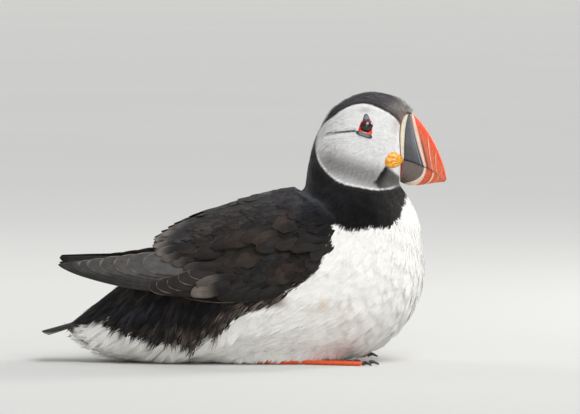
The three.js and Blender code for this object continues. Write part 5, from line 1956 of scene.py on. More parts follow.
@dataclass
class Tail:
    """The short tail: a fan of feathers, the middle pair on top.

    Attributes:
        feathers: Their number.
        root: Where the fan starts, [x, z].
        tip: Where its middle ends, [x, z].
        root_half: Half the fan's width at its root.
        tip_half: Half its width at the tip.
        feather_half: Half width of one feather.
    """

    feathers: int = 12
    root: tuple = (-80.0, 29.0)
    tip: tuple = (-117.0, 17.4)
    root_half: float = 8.0
    tip_half: float = 16.0
    feather_half: float = 3.4

    def build(self) -> None:
        """Build and mount the tail."""
        finish = VaneFinish("tail_vane", srgb(104, 78, 54), 0.4, sheen=0.0)
        row = FeatherRow("tail_feathers", finish)
        order = sorted(range(self.feathers), key=lambda k: -abs(self._share(k)))
        for rank, index in enumerate(order):
            self._feather(row, self._share(index), rank / self.feathers)
        mount(row.finished(), "plumage_black", "tail")

    def _share(self, index: int) -> float:
        """Return a feather's place across the fan, -1 to 1."""
        return 2 * (index + 0.5) / self.feathers - 1

    def _feather(self, row: FeatherRow, share: float, rank: float) -> None:
        """Lay one feather, seen from above."""
        rows, columns = 18, 9
        t = (1 - (1 - np.linspace(0, 1, rows)) ** 1.3)[:, None]
        s = np.linspace(-1, 1, columns)[None, :]
        end = np.clip((t - 0.82) / 0.18, 0, 1)
        half = self.feather_half * (0.6 + 0.4 * t) * np.sqrt(np.maximum(0, 1 - end**2.4))
        half = np.maximum(half, 0.04)
        tip_x = self.tip[0] + 4.6 * share**2
        x = self.root[0] + (tip_x - self.root[0]) * t + 0 * s
        middle = share * (self.root_half + (self.tip_half - self.root_half) * t**0.8)
        y = middle + s * half
        z = (self.root[1] + (self.tip[1] - self.root[1]) * t**0.85 - 0.6 * share**2
             - 0.35 * s * s + (0.6 * rank - 0.3))
        points = np.stack(np.broadcast_arrays(x, y, z), axis=2)
        slope = (self.root[1] - self.tip[1]) / (self.root[0] - self.tip[0])
        normal = unit(np.array([-slope, 0.0, 1.0]))
        normals = np.broadcast_to(normal, points.shape)
        row.add(points, normals, np.broadcast_to(t, x.shape), np.broadcast_to(s, x.shape),
                srgb(26, 19, 13), 0.4, 0.8, 0.3)


# ------------------------------------------------------------------ bill

@dataclass(frozen=True)
class BillEdge:
    """An edge between two straps of horn, from the mouth line to the ridge.

    Attributes:
        mouth: Share of the mouth line where the edge starts.
        ridge: Share of the ridge line where it ends.
        bend: The control point that bows it, [x, z].
    """

    mouth: float
    ridge: float
    bend: tuple

    def towards(self, other: "BillEdge", share: float) -> "BillEdge":
        """Return the edge that lies a share of the way to another edge."""
        def part(a: float, b: float) -> float:
            """Return the number a share of the way from one to the other."""
            return a + (b - a) * share
        return BillEdge(part(self.mouth, other.mouth), part(self.ridge, other.ridge),
                        (part(self.bend[0], other.bend[0]), part(self.bend[1], other.bend[1])))


@dataclass(frozen=True)
class Mandible:
    """One half of the bill.

    Attributes:
        ridge_line: Its edge away from the mouth, [x, z].
        root_half: Half width of the mouth line at the face.
        tip_half: Half width of the mouth line at the tip.
        ridge_root: Half width near the ridge at the face.
        ridge_tip: Half width near the ridge at the tip.
        edges: The edges of its straps, from the face to the tip.
        mouth_line: The line where the halves meet, [x, z].
    """

    ridge_line: tuple
    root_half: float
    tip_half: float
    ridge_root: float
    ridge_tip: float
    edges: tuple
    mouth_line: tuple = ((91.4, 117.6), (99.5, 116.4), (109.5, 111.4), (117.2, 104.9))

    def section(self, edge: BillEdge, steps: np.ndarray) -> Points:
        """Return the right half of a section, from the mouth line to the ridge."""
        mouth = bezier(self.mouth_line, np.array([edge.mouth]))[0]
        ridge = bezier(self.ridge_line, np.array([edge.ridge]))[0]
        half = self.root_half + (self.tip_half - self.root_half) * edge.mouth**1.3
        cap = self.ridge_root + (self.ridge_tip - self.ridge_root) * edge.ridge
        flat = bezier((mouth, edge.bend, ridge), steps)
        y = (half + (cap - half) * steps**1.5) * np.sqrt(np.maximum(0, 1 - steps**6))
        return np.stack([flat[:, 0], -y, flat[:, 1]], axis=1)


Painter = Callable[[np.ndarray, np.ndarray, Points], tuple[np.ndarray, np.ndarray]]


@dataclass
class Bill:
    """The tall banded bill, strap by strap, with its grooves and ridges in relief."""

    upper: Mandible = Mandible(
        ((93.2, 146.5), (104.8, 141.7), (115.6, 121.5), (118.0, 104.6)),
        7.0, 1.1, 2.4, 0.9,
        (BillEdge(0.0, 0.065, (88.4, 142.0)), BillEdge(0.06, 0.1, (93.0, 141.5)),
         BillEdge(0.5, 0.12, (97.2, 136.5)), BillEdge(0.56, 0.15, (101.8, 133.0)),
         BillEdge(1.0, 1.0, (117.7, 104.8))))
    lower: Mandible = Mandible(
        ((90.9, 104.3), (98.0, 99.6), (107.0, 103.9), (116.9, 104.2)),
        6.5, 0.9, 2.6, 0.7,
        (BillEdge(0.0, 0.0, (91.0, 111.0)), BillEdge(0.5, 0.06, (104.2, 104.6)),
         BillEdge(0.56, 0.36, (105.2, 104.4)), BillEdge(1.0, 1.0, (117.0, 104.5))))
    mouth_gap: float = 0.12

    def build(self) -> None:
        """Build and mount every strap of the bill."""
        straps = (
            ("bill_cere_horn", self.upper, 0, self._cere, "pale_horn", "bill_cere", 14),
            ("bill_upper_plate_horn", self.upper, 1, self._upper_plate, "slate_horn",
             "bill_upper_plate", 40),
            ("bill_upper_ridge_horn", self.upper, 2, self._pale_ridge, "pale_horn",
             "bill_upper_ridge", 14),
            ("bill_upper_sheath_horn", self.upper, 3, self._upper_sheath, "orange_horn",
             "bill_upper_sheath", 110),
            ("bill_lower_plate_horn", self.lower, 0, self._lower_plate, "slate_horn",
             "bill_lower_plate", 40),
            ("bill_lower_ridge_horn", self.lower, 1, self._pale_ridge_below, "pale_horn",
             "bill_lower_ridge", 16),
            ("bill_lower_sheath_horn", self.lower, 2, self._lower_sheath, "orange_horn",
             "bill_lower_sheath", 70))
        for name, half, index, painter, slot, node, sections in straps:
            mount(self._strap(name, half, index, painter, sections), slot, node)

    def _strap(self, name: str, half: Mandible, index: int, painter: Painter,
               sections: int) -> bpy.types.Object:
        """Loft one strap of horn and close it with a floor and two ends."""
        first, last = half.edges[index], half.edges[index + 1]
        end = 0.985 if last.mouth == 1.0 else 0.999
        shares = np.linspace(0.001, end, sections + 1)
        steps = 1 - (1 - np.linspace(0, 1, 33)) ** 1.15
        right = np.array([half.section(first.towards(last, s), steps) for s in shares])
        share_grid, step_grid = np.meshgrid(shares, steps, indexing="ij")
        up = 1 if half is self.upper else -1
        right[:, 0, 2] += up * self.mouth_gap
        colour, relief = painter(share_grid, step_grid, right)
        normal = unit(np.cross(np.gradient(right, axis=0), np.gradient(right, axis=1)))
        normal *= np.where(normal[..., 1:2] > 0, -1.0, 1.0)
        normal[:, -1] = (0.0, 0.0, up)
        right = right + normal * (relief * (1 - step_grid**10))[..., None]
        right[:, -1, 1] = 0.0
        left = right[:, -2::-1] * (1, -1, 1)
        ring = np.concatenate([right, left], axis=1)
        tint = np.concatenate([colour, colour[:, -2::-1]], axis=1)
        rows, columns = ring.shape[:2]
        faces = grid_faces(rows, columns, closed=True)
        for i, flip in ((0, False), (rows - 1, True)):
            for j in range(columns // 2 - 1):
                a, b = i * columns + j, i * columns + j + 1
                c, d = i * columns + columns - 2 - j, i * columns + columns - 1 - j
                face = (a, b, c, d)
                faces.append(tuple(reversed(face)) if flip else face)
            middle = columns // 2
            a = i * columns + middle
            faces.append((a - 1, a, a + 1) if not flip else (a + 1, a, a - 1))
        horn = HornFinish(name, roughness=0.36, coat=0.12, grain=1500.0, relief=0.04,
                          mottle=0.07)
        return closed_piece(name, ring.reshape(-1, 3), faces, tint.reshape(-1, 3), horn)

    @staticmethod
    def _grain(places: Points, size: float, seed: int) -> np.ndarray:
        """Return noise over a strap's grid."""
        return ripple(places.reshape(-1, 3), size, seed).reshape(places.shape[:2])

    def _cere(self, share: np.ndarray, step: np.ndarray,
              places: Points) -> tuple[np.ndarray, np.ndarray]:
        """Cream, pitted skin between the face and the plate, reddish at its rear edge."""
        tint = even_tint(srgb(226, 219, 198), *share.shape)
        # painted shade towards the cere's front edge
        tint = blend(tint, srgb(198, 186, 150), smoothstep(0.55, 0.95, share)
                     * smoothstep(0.0, 0.5, step) * 0.6)
        tint = blend(tint, srgb(176, 92, 62), smoothstep(0.22, 0.08, share)
                     * (0.9 - 0.35 * smoothstep(0.4, 0.8, step)))
        tint = blend(tint, srgb(214, 176, 152), smoothstep(0.8, 0.97, step) * 0.8)
        pits = smoothstep(0.45, 0.9, self._grain(places, 0.35, 31))
        tint = blend(tint, srgb(150, 132, 104), 0.45 * pits)
        relief = 0.42 * np.sin(math.pi * np.clip(share, 0, 1)) ** 0.6 - 0.08 * pits
        return tint, relief

    def _upper_plate(self, share: np.ndarray, step: np.ndarray,
                     places: Points) -> tuple[np.ndarray, np.ndarray]:
        """Blue-grey plate, darker behind, with a fine pale line near its front edge."""
        tint = even_tint(srgb(94, 94, 98), *share.shape)
        tint = blend(tint, srgb(82, 72, 72), smoothstep(0.35, 0.1, step) * 0.7)
        tint = blend(tint, srgb(64, 64, 70), smoothstep(0.22, 0.0, share))
        tint = blend(tint, srgb(120, 124, 132), 0.6 * band(share, 0.72, 0.12))
        tint = blend(tint, srgb(60, 62, 68), smoothstep(0.30, 0.02, step) * 0.75)
        line = band(share, 0.885 - 0.02 * step, 0.022) * smoothstep(0.85, 0.55, step)
        tint = blend(tint, srgb(160, 172, 184), 0.75 * line)
        tint = blend(tint, srgb(38, 38, 42), smoothstep(0.93, 0.985, share) * 0.9)
        tint = blend(tint, srgb(240, 158, 120), smoothstep(0.86, 0.93, step) * 0.9)
        mottled = self._grain(places, 0.8, 33)
        tint = tint * (1 + 0.10 * mottled[..., None])
        relief = -0.28 * np.sin(math.pi * share) ** 0.8 + 0.07 * line
        relief -= 0.25 * smoothstep(0.95, 1.0, share)
        return tint, relief + 0.03 * mottled

    def _pale_ridge(self, share: np.ndarray, step: np.ndarray,
                    places: Points) -> tuple[np.ndarray, np.ndarray]:
        """Raised cream ridge, pinker towards the top and at its front edge."""
        tint = even_tint(srgb(228, 206, 188), *share.shape)
        tint = blend(tint, srgb(240, 180, 150), smoothstep(0.45, 0.9, step) * 0.7)
        tint = blend(tint, srgb(206, 140, 116), smoothstep(0.62, 0.95, share) * 0.8)
        tint = blend(tint, srgb(150, 120, 104), smoothstep(0.12, 0.0, share) * 0.7)
        relief = 0.5 * np.sin(math.pi * np.clip(share, 0, 1)) ** 0.7
        relief = relief * smoothstep(1.0, 0.9, step)
        return tint * (1 + 0.05 * self._grain(places, 0.6, 34)[..., None]), relief

    def _pale_ridge_below(self, share: np.ndarray, step: np.ndarray,
                          places: Points) -> tuple[np.ndarray, np.ndarray]:
        """The same ridge on the lower mandible, running out along its underside."""
        tint, relief = self._pale_ridge(share, 0.3 * step, places)
        tint = blend(tint, srgb(226, 206, 176), smoothstep(0.3, 0.8, step) * 0.8)
        return tint, relief * 0.8

    def _groove(self, share: np.ndarray, step: np.ndarray, at: float, width: float,
                bow: float) -> np.ndarray:
        """Return how near each place is to a groove across the sheath, 0 to 1."""
        middle = at + bow * step * (1 - step)
        return band(share, middle, width) * smoothstep(0.93, 0.62, step)

    def _upper_sheath(self, share: np.ndarray, step: np.ndarray,
                      places: Points) -> tuple[np.ndarray, np.ndarray]:
        """Orange-red sheath with pale grooves, lengthwise streaks and a worn tip."""
        tint = even_tint(srgb(212, 90, 46), *share.shape)
        tint = blend(tint, srgb(232, 72, 30), smoothstep(0.5, 0.9, step) * 0.8)
        tint = blend(tint, srgb(188, 84, 60), smoothstep(0.34, 0.12, share)
                     * smoothstep(0.65, 0.2, step) * 0.75)
        bands = np.sin(84 * share + 3 * step) + 0.8 * np.sin(151 * share - 4 * step)
        bands *= smoothstep(0.9, 0.5, step)
        tint = blend(tint, srgb(250, 176, 152), np.clip(0.20 * bands, 0, 1))
        tint = blend(tint, srgb(198, 66, 42), np.clip(-0.16 * bands, 0, 1))
        tint = blend(tint, srgb(238, 138, 100), smoothstep(0.16, 0.03, share)
                     * smoothstep(0.8, 0.3, step) * 0.8)
        streaks = np.sin(70 * (step + 0.05 * np.sin(9 * share)) + 8 * share)
        streaks += 0.8 * np.sin(123 * step - 11 * share)
        tint = blend(tint, srgb(246, 150, 112), np.clip(0.08 * streaks, 0, 1))
        broad = 0.026 + 0.042 * (1 - step) ** 2
        dark = band(share, 0.02 + broad, broad) * smoothstep(0.8, 0.3, step)
        tint = blend(tint, srgb(58, 40, 38), 0.92 * dark)
        grooves = ((0.33, 0.019, -0.02, 0.95), (0.56, 0.017, -0.02, 0.6),
                   (0.78, 0.014, 0.0, 0.3))
        relief = -0.18 * dark - 0.20 * smoothstep(0.03, 0.0, share)
        for at, width, bow, depth in grooves:
            near = self._groove(share, step, at, width, bow)
            brink = self._groove(share, step, at - 2.3 * width, 1.2 * width, bow)
            tint = blend(tint, srgb(240, 214, 194), 0.85 * depth * near)
            tint = blend(tint, srgb(150, 52, 36), 0.5 * depth * brink)
            relief = relief - 0.34 * depth * near + 0.16 * depth * brink
        tint = blend(tint, srgb(150, 96, 66), smoothstep(0.93, 1.0, share) * 0.7)
        tint = blend(tint, srgb(120, 70, 48), smoothstep(0.05, 0.0, step) * 0.55)
        mottled = self._grain(places, 0.7, 35)
        return tint * (1 + 0.07 * mottled[..., None]), relief + 0.02 * mottled

    def _lower_plate(self, share: np.ndarray, step: np.ndarray,
                     places: Points) -> tuple[np.ndarray, np.ndarray]:
        """Brownish grey plate with a red-brown seam at the face."""
        tint = even_tint(srgb(108, 95, 90), *share.shape)
        specks = self._grain(places, 0.5, 36)
        tint = blend(tint, srgb(124, 112, 112), np.clip(0.35 * specks, 0, 1))
        tint = blend(tint, srgb(58, 52, 54), np.clip(-0.3 * specks, 0, 1))
        tint = blend(tint, srgb(150, 40, 22), smoothstep(0.13, 0.05, share) * 0.95)
        tint = blend(tint, srgb(50, 46, 48), smoothstep(0.08, 0.0, step) * 0.7)
        relief = -0.2 * np.sin(math.pi * share) ** 0.8 + 0.03 * specks
        return tint, relief + 0.25 * smoothstep(0.12, 0.04, share)

    def _lower_sheath(self, share: np.ndarray, step: np.ndarray,
                      places: Points) -> tuple[np.ndarray, np.ndarray]:
        """Orange sheath of the lower mandible with one strong pale groove."""
        tint = even_tint(srgb(206, 86, 44), *share.shape)
        tint = blend(tint, srgb(206, 74, 40), smoothstep(0.25, 0.05, share) * 0.7)
        streaks = np.sin(60 * step + 7 * share) + 0.8 * np.sin(101 * step)
        tint = blend(tint, srgb(244, 148, 108), np.clip(0.16 * streaks, 0, 1))
        near = band(share, 0.36, 0.035)
        tint = blend(tint, srgb(240, 212, 188), 0.9 * near)
        tint = blend(tint, srgb(140, 50, 34), 0.6 * band(share, 0.27, 0.03))
        faint = band(share, 0.62, 0.03)
        tint = blend(tint, srgb(240, 190, 160), 0.35 * faint)
        tint = blend(tint, srgb(140, 96, 70), smoothstep(0.9, 1.0, share) * 0.7)
        relief = -0.22 * near - 0.08 * faint
        return tint * (1 + 0.06 * self._grain(places, 0.7, 37)[..., None]), relief


# ------------------------------------------------------------------ face

@dataclass(frozen=True)
class Cheek:
    """A smooth stand-in for the side of the head round one place, for small pieces."""

    centre: tuple
    factors: tuple

    @classmethod
    def fit(cls, carrier: Carrier, x: float, z: float, inner: float, outer: float) -> "Cheek":
        """Fit a quadratic surface to the head between two distances from a place."""
        rows, heights = [], []
        for radius in np.linspace(inner, outer, 4):
            for turn in np.linspace(0, 2 * math.pi, 24, endpoint=False):
                u, w = radius * math.cos(turn), radius * math.sin(turn)
                found = carrier.beside(x + u, z + w, 1)
                if found is not None and found[0].y > 3:
                    rows.append((1, u, w, u * u, u * w, w * w))
                    heights.append(found[0].y)
        factors = np.linalg.lstsq(np.array(rows), np.array(heights), rcond=None)[0]
        return cls((x, z), tuple(factors))

    def half_width(self, flat: Points) -> np.ndarray:
        """Return the head's half width at each [x, z] place."""
        u, w = flat[..., 0] - self.centre[0], flat[..., 1] - self.centre[1]
        a, b, c, d, e, f = self.factors
        return a + b * u + c * w + d * u * u + e * u * w + f * w * w


@dataclass(frozen=True)
class Boss:
    """A raised piece of bare skin or horn on the side of the head.

    Attributes:
        name: The piece's name, before its side.
        outline: Its outline in side view, [x, z].
        height: How far it stands out.
        sunk: How far its rim goes under the plumage.
        profile: Power that shapes its rounded edge.
    """

    name: str
    outline: tuple
    height: float
    sunk: float = 0.9
    profile: float = 3.0
    rings: int = 14

    def shell(self, cheek: Cheek, side: int, label: str) -> bpy.types.Object:
        """Build the bare closed shape, without a finish."""
        def plain(radius: np.ndarray, turn: np.ndarray, flat: Points) -> tuple:
            """Leave the shape as it is."""
            return np.ones((*radius.shape, 3)), 0.0 * radius
        return self.build(cheek, side, None, plain, label)

    def build(self, cheek: Cheek, side: int, finish: Optional[object],
              dress: Callable[[np.ndarray, np.ndarray, Points], tuple],
              label: str) -> bpy.types.Object:
        """Build the piece on one side of the head.

        Args:
            cheek: The head's surface there.
            side: -1 for the right, 1 for the left.
            finish: Its finish.
            dress: Gives tints and extra height from radius, turn and [x, z] place.
            label: The side's name.

        Returns:
            The piece's object.
        """
        rim = rounded(self.outline)
        middle = rim.mean(axis=0)
        count = len(rim)
        shares = 1 - (1 - np.linspace(0, 1, self.rings + 1)[1:]) ** 1.4
        flat = middle + (rim - middle)[None] * shares[:, None, None]
        flat = np.concatenate([flat, flat[-1:]], axis=0)
        radius = np.concatenate([shares, [1.0]])[:, None] * np.ones((1, count))
        turn = np.ones((len(flat), 1)) * np.arctan2(*(rim - middle).T[::-1])[None]
        tint, extra = dress(radius, turn, flat)
        stand = self.height * np.maximum(0, 1 - radius**self.profile) + extra * (1 - radius**6)
        stand[-2] = 0.05
        stand[-1] = -self.sunk
        y = cheek.half_width(flat) + stand
        points = np.stack([flat[..., 0], side * y, flat[..., 1]], axis=2).reshape(-1, 3)
        tints = tint.reshape(-1, 3)
        skin_y = cheek.half_width(middle[None])[0]
        top_y, back_y = skin_y + self.height + float(extra[0].mean()), skin_y - self.sunk
        top, back = (np.array([middle[0], side * y, middle[1]]) for y in (top_y, back_y))
        points = np.concatenate([points, [top, back]])
        tints = np.concatenate([tints, tint[0].mean(axis=0)[None], tints[-1:]])
        faces = grid_faces(len(flat), count, closed=True)
        total = len(points)
        last = (len(flat) - 1) * count
        for j in range(count):
            k = (j + 1) % count
            faces.append((total - 2, k, j))
            faces.append((total - 1, last + j, last + k))
        return closed_piece(f"{self.name}_{label}", points, faces, tints, finish)


@dataclass
class Face:
    """Eyes, eye rings, horny plates and the fleshy rosettes at the gape."""

    eye: tuple = (70.9, 137.0)
    sight_half: float = 3.3
    ring_outline: tuple = (
        (-4.9, -3.0), (-3.9, 0.2), (-2.9, 2.5), (-1.6, 3.8), (2.1, 3.8), (3.1, 2.2),
        (3.5, -0.8), (3.5, -5.2), (-0.6, -4.5))
    upper_plate: tuple = ((-2.0, 3.2), (-1.6, 5.2), (-1.1, 6.6), (-0.5, 7.3), (0.5, 7.3),
                          (1.2, 6.5), (1.9, 5.0), (2.5, 3.2))
    lower_plate: tuple = ((-6.0, -2.5), (-4.9, -2.3), (-2.2, -3.4), (0.2, -4.3),
                          (3.4, -4.7), (3.5, -6.8), (2.0, -6.9), (-2.3, -5.5), (-5.5, -4.4))
    rosette: tuple = (
        (81.6, 116.4), (82.3, 119.0), (84.2, 121.3), (86.6, 122.4), (88.9, 122.1),
        (90.5, 120.8), (91.6, 118.8), (93.2, 117.2), (91.2, 114.9), (89.1, 113.5),
        (86.6, 112.9), (84.0, 113.4), (82.2, 114.7))

    def build(self) -> None:
        """Build and mount the bare pieces of both sides of the head."""
        cheek = self.cheek()
        gape = Cheek.fit(Carrier.of_nodes("head"), 86.2, 117.6, 0.4, 4.2)
        lid = HornFinish("eye_ring_flesh", roughness=0.55, coat=0.0, grain=2600.0,
                         relief=0.06, mottle=0.12, subsurface=0.15)
        slate = HornFinish("eye_plate_horn", roughness=0.45, coat=0.1, grain=2200.0,
                           relief=0.05, mottle=0.16)
        flesh = HornFinish("rosette_flesh", roughness=0.46, coat=0.15, grain=1600.0,
                           relief=0.10, mottle=0.10, subsurface=0.2)
        for label, side in SIDES:
            mount(self._eyeball(label, side), "eyeball", f"eye_{label}")
            mount(self._ring(cheek, label, side, lid), "lid_skin", f"eye_ring_{label}")
            for name, outline in (("upper", self.upper_plate), ("lower", self.lower_plate)):
                boss = Boss(f"eye_plate_{name}_horn", self.at_eye(outline), 0.95,
                            profile=4.0)
                mount(boss.build(cheek, side, slate, self._plate_dress, label),
                      "slate_horn", f"eye_plate_{name}_{label}")
            boss = Boss("gape_rosette_flesh", self.rosette, 1.5, 1.2, 2.6, 26)
            mount(boss.build(gape, side, flesh, self._rosette_dress, label),
                  "rosette_skin", f"gape_rosette_{label}")

    def cheek(self) -> Cheek:
        """Return the smooth surface of the head round the eye."""
        return Cheek.fit(Carrier.of_nodes("head"), *self.eye, 5.4, 9.0)

    def at_eye(self, outline: tuple) -> tuple:
        """Move an outline given from the eye's middle to its place."""
        return tuple((self.eye[0] + u, self.eye[1] + w) for u, w in outline)

    @staticmethod
    def _plate_dress(radius: np.ndarray, turn: np.ndarray, flat: Points) -> tuple:
        """Slate blue horn with fine ridges along it, painted highlight on their crests, and a darker
        rim.
        """
        tint = even_tint(srgb(98, 112, 118), *radius.shape)
        ridges = np.sin(5.5 * flat[..., 0] + 1.5 * flat[..., 1])
        # painted highlight on the crests of the ridges
        tint = blend(tint, srgb(150, 164, 172), np.clip(0.30 * ridges, 0, 1))
        tint = blend(tint, srgb(28, 34, 40), smoothstep(0.5, 0.85, radius) * 0.9)
        return tint, 0.12 * ridges

    @staticmethod
    def _rosette_dress(radius: np.ndarray, turn: np.ndarray, flat: Points) -> tuple:
        """Orange-yellow flesh in folds that run together towards the bill."""
        u, w = flat[..., 0] - 90.2, flat[..., 1] - 117.0
        fan = np.arctan2(w, -u)
        reach = np.hypot(u, w)
        folds = np.sin(11 * fan + 0.9 * np.sin(1.3 * reach))
        cross = np.sin(2.4 * reach + 1.4 * np.sin(3 * fan))
        tint = even_tint(srgb(240, 166, 36), *radius.shape)
        tint = blend(tint, srgb(250, 198, 70), np.clip(0.45 * folds + 0.2 * cross, 0, 1))
        tint = blend(tint, srgb(206, 116, 16), np.clip(-0.55 * folds - 0.25 * cross, 0, 1))
        tint = blend(tint, srgb(226, 128, 20), smoothstep(0.86, 1.0, radius) * 0.7)
        return tint, 0.30 * folds + 0.14 * cross

    def _eyeball(self, label: str, side: int) -> bpy.types.Object:
        """Build an eyeball, its iris and pupil facing outwards."""
        low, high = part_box(f"eye_{label}")
        centre = (np.array(low) + np.array(high)) / 2 / MM
        radius = float(np.array(high)[2] - np.array(low)[2]) / 2 / MM
        rows, columns = 48, 64
        polar = np.linspace(0, math.pi, rows)[1:-1, None]
        turn = np.linspace(0, 2 * math.pi, columns, endpoint=False)[None, :]
        out = np.cos(polar) * np.ones_like(turn)
        bulge = 1 + 0.03 * smoothstep(0.86, 1.0, out)
        u = np.sin(polar) * np.cos(turn)
        w = np.sin(polar) * np.sin(turn)
        grid = np.stack([u, side * out, w], axis=2) * (radius * bulge)[..., None]
        grid = grid.reshape(-1, 3) + centre
        poles = centre + np.array([[0, side * radius * 1.03, 0], [0, -side * radius, 0]])
        points = np.concatenate([grid, poles])
        faces = grid_faces(rows - 2, columns, closed=True)
        last = (rows - 3) * columns
        for j in range(columns):
            k = (j + 1) % columns
            faces.append((len(grid), j, k))
            faces.append((len(grid) + 1, last + k, last + j))
        away = np.hypot(points[:, 0] - centre[0], points[:, 2] - centre[2])
        tint = even_tint(srgb(22, 13, 10), len(points))
        tint = blend(tint, srgb(40, 25, 18), band(away, 2.4, 0.35) * 0.7)
        tint = blend(tint, srgb(3, 3, 4), smoothstep(1.85, 1.65, away))
        tint = blend(tint, srgb(8, 6, 6), smoothstep(2.7, 3.0, away))
        return closed_piece(f"eyeball_{label}", points, faces, tint, WetFinish())

    def _ring(self, cheek: Cheek, label: str, side: int,
              finish: HornFinish) -> bpy.types.Object:
        """Build the fleshy red ring round an eye."""
        outer = rounded(self.at_eye(self.ring_outline))
        turn = np.arctan2(outer[:, 1] - self.eye[1], outer[:, 0] - self.eye[0])
        inner = np.stack([self.eye[0] + self.sight_half * np.cos(turn),
                          self.eye[1] + self.sight_half * np.sin(turn)], axis=1)
        low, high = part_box(f"eye_{label}")
        ball_y = float(abs(low[1] + high[1])) / 2 / MM
        ball = float(high[2] - low[2]) / 2 / MM
        shares = np.linspace(0, 1, 11)
        flat = inner[None] + (outer - inner)[None] * shares[:, None, None]
        u = shares[:, None] * np.ones((1, len(outer)))
        skin_y = cheek.half_width(flat)
        on_ball = ball_y + math.sqrt(ball**2 - self.sight_half**2)
        base = on_ball + (skin_y - on_ball) * smoothstep(0, 1, u)
        crinkle = 0.07 * np.sin(13 * turn)[None] * np.sin(math.pi * u)
        front = base + 0.42 * np.sin(math.pi * np.clip(0.08 + 0.86 * u, 0, 1)) ** 0.7 + crinkle
        front[0] = on_ball + 0.12
        back = np.minimum(base, skin_y) - 1.5
        y = np.concatenate([front, back[::-1]], axis=0)
        places = np.concatenate([flat, flat[::-1]], axis=0)
        points = np.stack([places[..., 0], side * y, places[..., 1]], axis=2)
        rows, columns = points.shape[:2]
        faces = grid_faces(rows, columns, closed=True)
        for j in range(columns):
            k = (j + 1) % columns
            faces.append(((rows - 1) * columns + j, (rows - 1) * columns + k, k, j))
        tint = even_tint(srgb(204, 32, 20), rows, columns)
        below = smoothstep(-0.35, -0.75, np.sin(turn))[None] * np.ones((rows, 1))
        edge = np.concatenate([u, u[::-1]], axis=0)
        tint = blend(tint, srgb(238, 92, 66), below * band(edge, 0.45, 0.28))
        tint = blend(tint, srgb(120, 18, 14), smoothstep(0.12, 0.0, edge) * 0.9)
        tint = blend(tint, srgb(170, 26, 18), smoothstep(0.85, 1.0, edge) * 0.6)
        return closed_piece(f"eye_ring_flesh_{label}", points.reshape(-1, 3), faces,
                            tint.reshape(-1, 3), finish)


# ------------------------------------------------------------------ feet

@dataclass
class Feet:
    """Webbed feet flat on the ground, half under the belly.

    Attributes:
        joint_x: Where the toes meet, along the bird.
        y: Where they meet, from the middle plane.
        toe_angles: The toes' headings in degrees, the inner first.
        skin_voxel: Size of the faces of the feet and tarsi.
        claw_voxel: Size of the claws' faces.
    """

    joint_x: float = 34.0
    y: float = 26.0
    toe_angles: tuple = (-6.0, 6.0, 19.0)
    skin_voxel: float = 0.42
    claw_voxel: float = 0.22

    def build(self) -> None:
        """Build and mount both feet."""
        skin = HornFinish("foot_skin", roughness=0.5, coat=0.08, grain=1300.0, relief=0.10,
                          mottle=0.10, subsurface=0.1)
        horn = HornFinish("claw_horn", roughness=0.34, coat=0.2, grain=1200.0, relief=0.05,
                          mottle=0.2)
        for label, side in SIDES:
            for node in ("foot", "tarsus"):
                mount(self._skin_piece(node, label, side, skin), "foot_skin",
                      f"{node}_{label}")
            for toe in ("inner", "middle", "outer"):
                mount(self._claw(toe, label, horn), "claw_horn", f"claw_{toe}_{label}")

    def _refined(self, node: str, name: str, voxel: float, rounds: int) -> bpy.types.Object:
        """Copy a CAD node and give the copy a fine, smooth surface."""
        work = bmesh.new()
        work.from_mesh(frame["nodes"][node].data)
        bmesh.ops.remove_doubles(work, verts=work.verts, dist=1e-6)
        mesh = bpy.data.meshes.new(name)
        work.to_mesh(mesh)
        work.free()
        made = link_new(name, mesh)
        remesh(made, voxel, rounds)
        return made

    def _skin_piece(self, node: str, label: str, side: int,
                    finish: HornFinish) -> bpy.types.Object:
        """Dress a toe fan or a tarsus with scutes along its upper side."""
        made = self._refined(f"{node}_{label}", f"{node}_scaled_{label}", self.skin_voxel, 4)
        places = vertex_array(made.data)
        reach = np.hypot(places[:, 0] - self.joint_x, places[:, 1] - side * self.y)
        ahead, aside = places[:, 0] - self.joint_x, side * (places[:, 1] - side * self.y)
        heading = np.degrees(np.arctan2(aside, ahead))
        gap = np.min([np.abs(heading - a) for a in self.toe_angles], axis=0)
        toe = smoothstep(1.9, 1.1, np.radians(gap) * reach) if node == "foot" else 1.0
        scutes = np.abs(np.sin(math.pi * reach / 1.5)) ** 0.6
        top = smoothstep(0.6, 1.6, places[:, 2])
        places[:, 2] += 0.22 * (scutes - 0.6) * top * toe
        move_vertices(made.data, places)
        tint = even_tint(srgb(232, 92, 34), len(places))
        tint = blend(tint, srgb(206, 70, 30), smoothstep(0.75, 0.3, scutes) * toe * 0.8)
        web = (1 - toe) if node == "foot" else np.zeros(len(places))
        tint = blend(tint, srgb(214, 84, 44), web * 0.8)
        lines = smoothstep(0.3, 1.0, ripple(places, 1.0, 41))
        tint = blend(tint, srgb(168, 56, 26), 0.4 * lines)
        paint(made.data, "tint", tint)
        made.data.materials.append(finish.material())
        return made

    def _claw(self, toe: str, label: str, finish: HornFinish) -> bpy.types.Object:
        """Dress a claw, brown at its root and black at its point."""
        made = self._refined(f"claw_{toe}_{label}", f"claw_{toe}_horn_{label}",
                             self.claw_voxel, 2)
        places = vertex_array(made.data)
        places += 0.28 * read_all(made.data.vertices, "normal", 3)
        places[:, 2] = np.maximum(places[:, 2], LOWEST_CLAW)
        move_vertices(made.data, places)
        share = (places[:, 0] - places[:, 0].min()) / np.ptp(places[:, 0])
        tint = even_tint(srgb(36, 30, 28), len(places))
        tint = blend(tint, srgb(92, 62, 44), smoothstep(0.3, 0.0, share) * 0.8)
        paint(made.data, "tint", tint)
        made.data.materials.append(finish.material())
        return made


# ------------------------------------------------------------------ studio

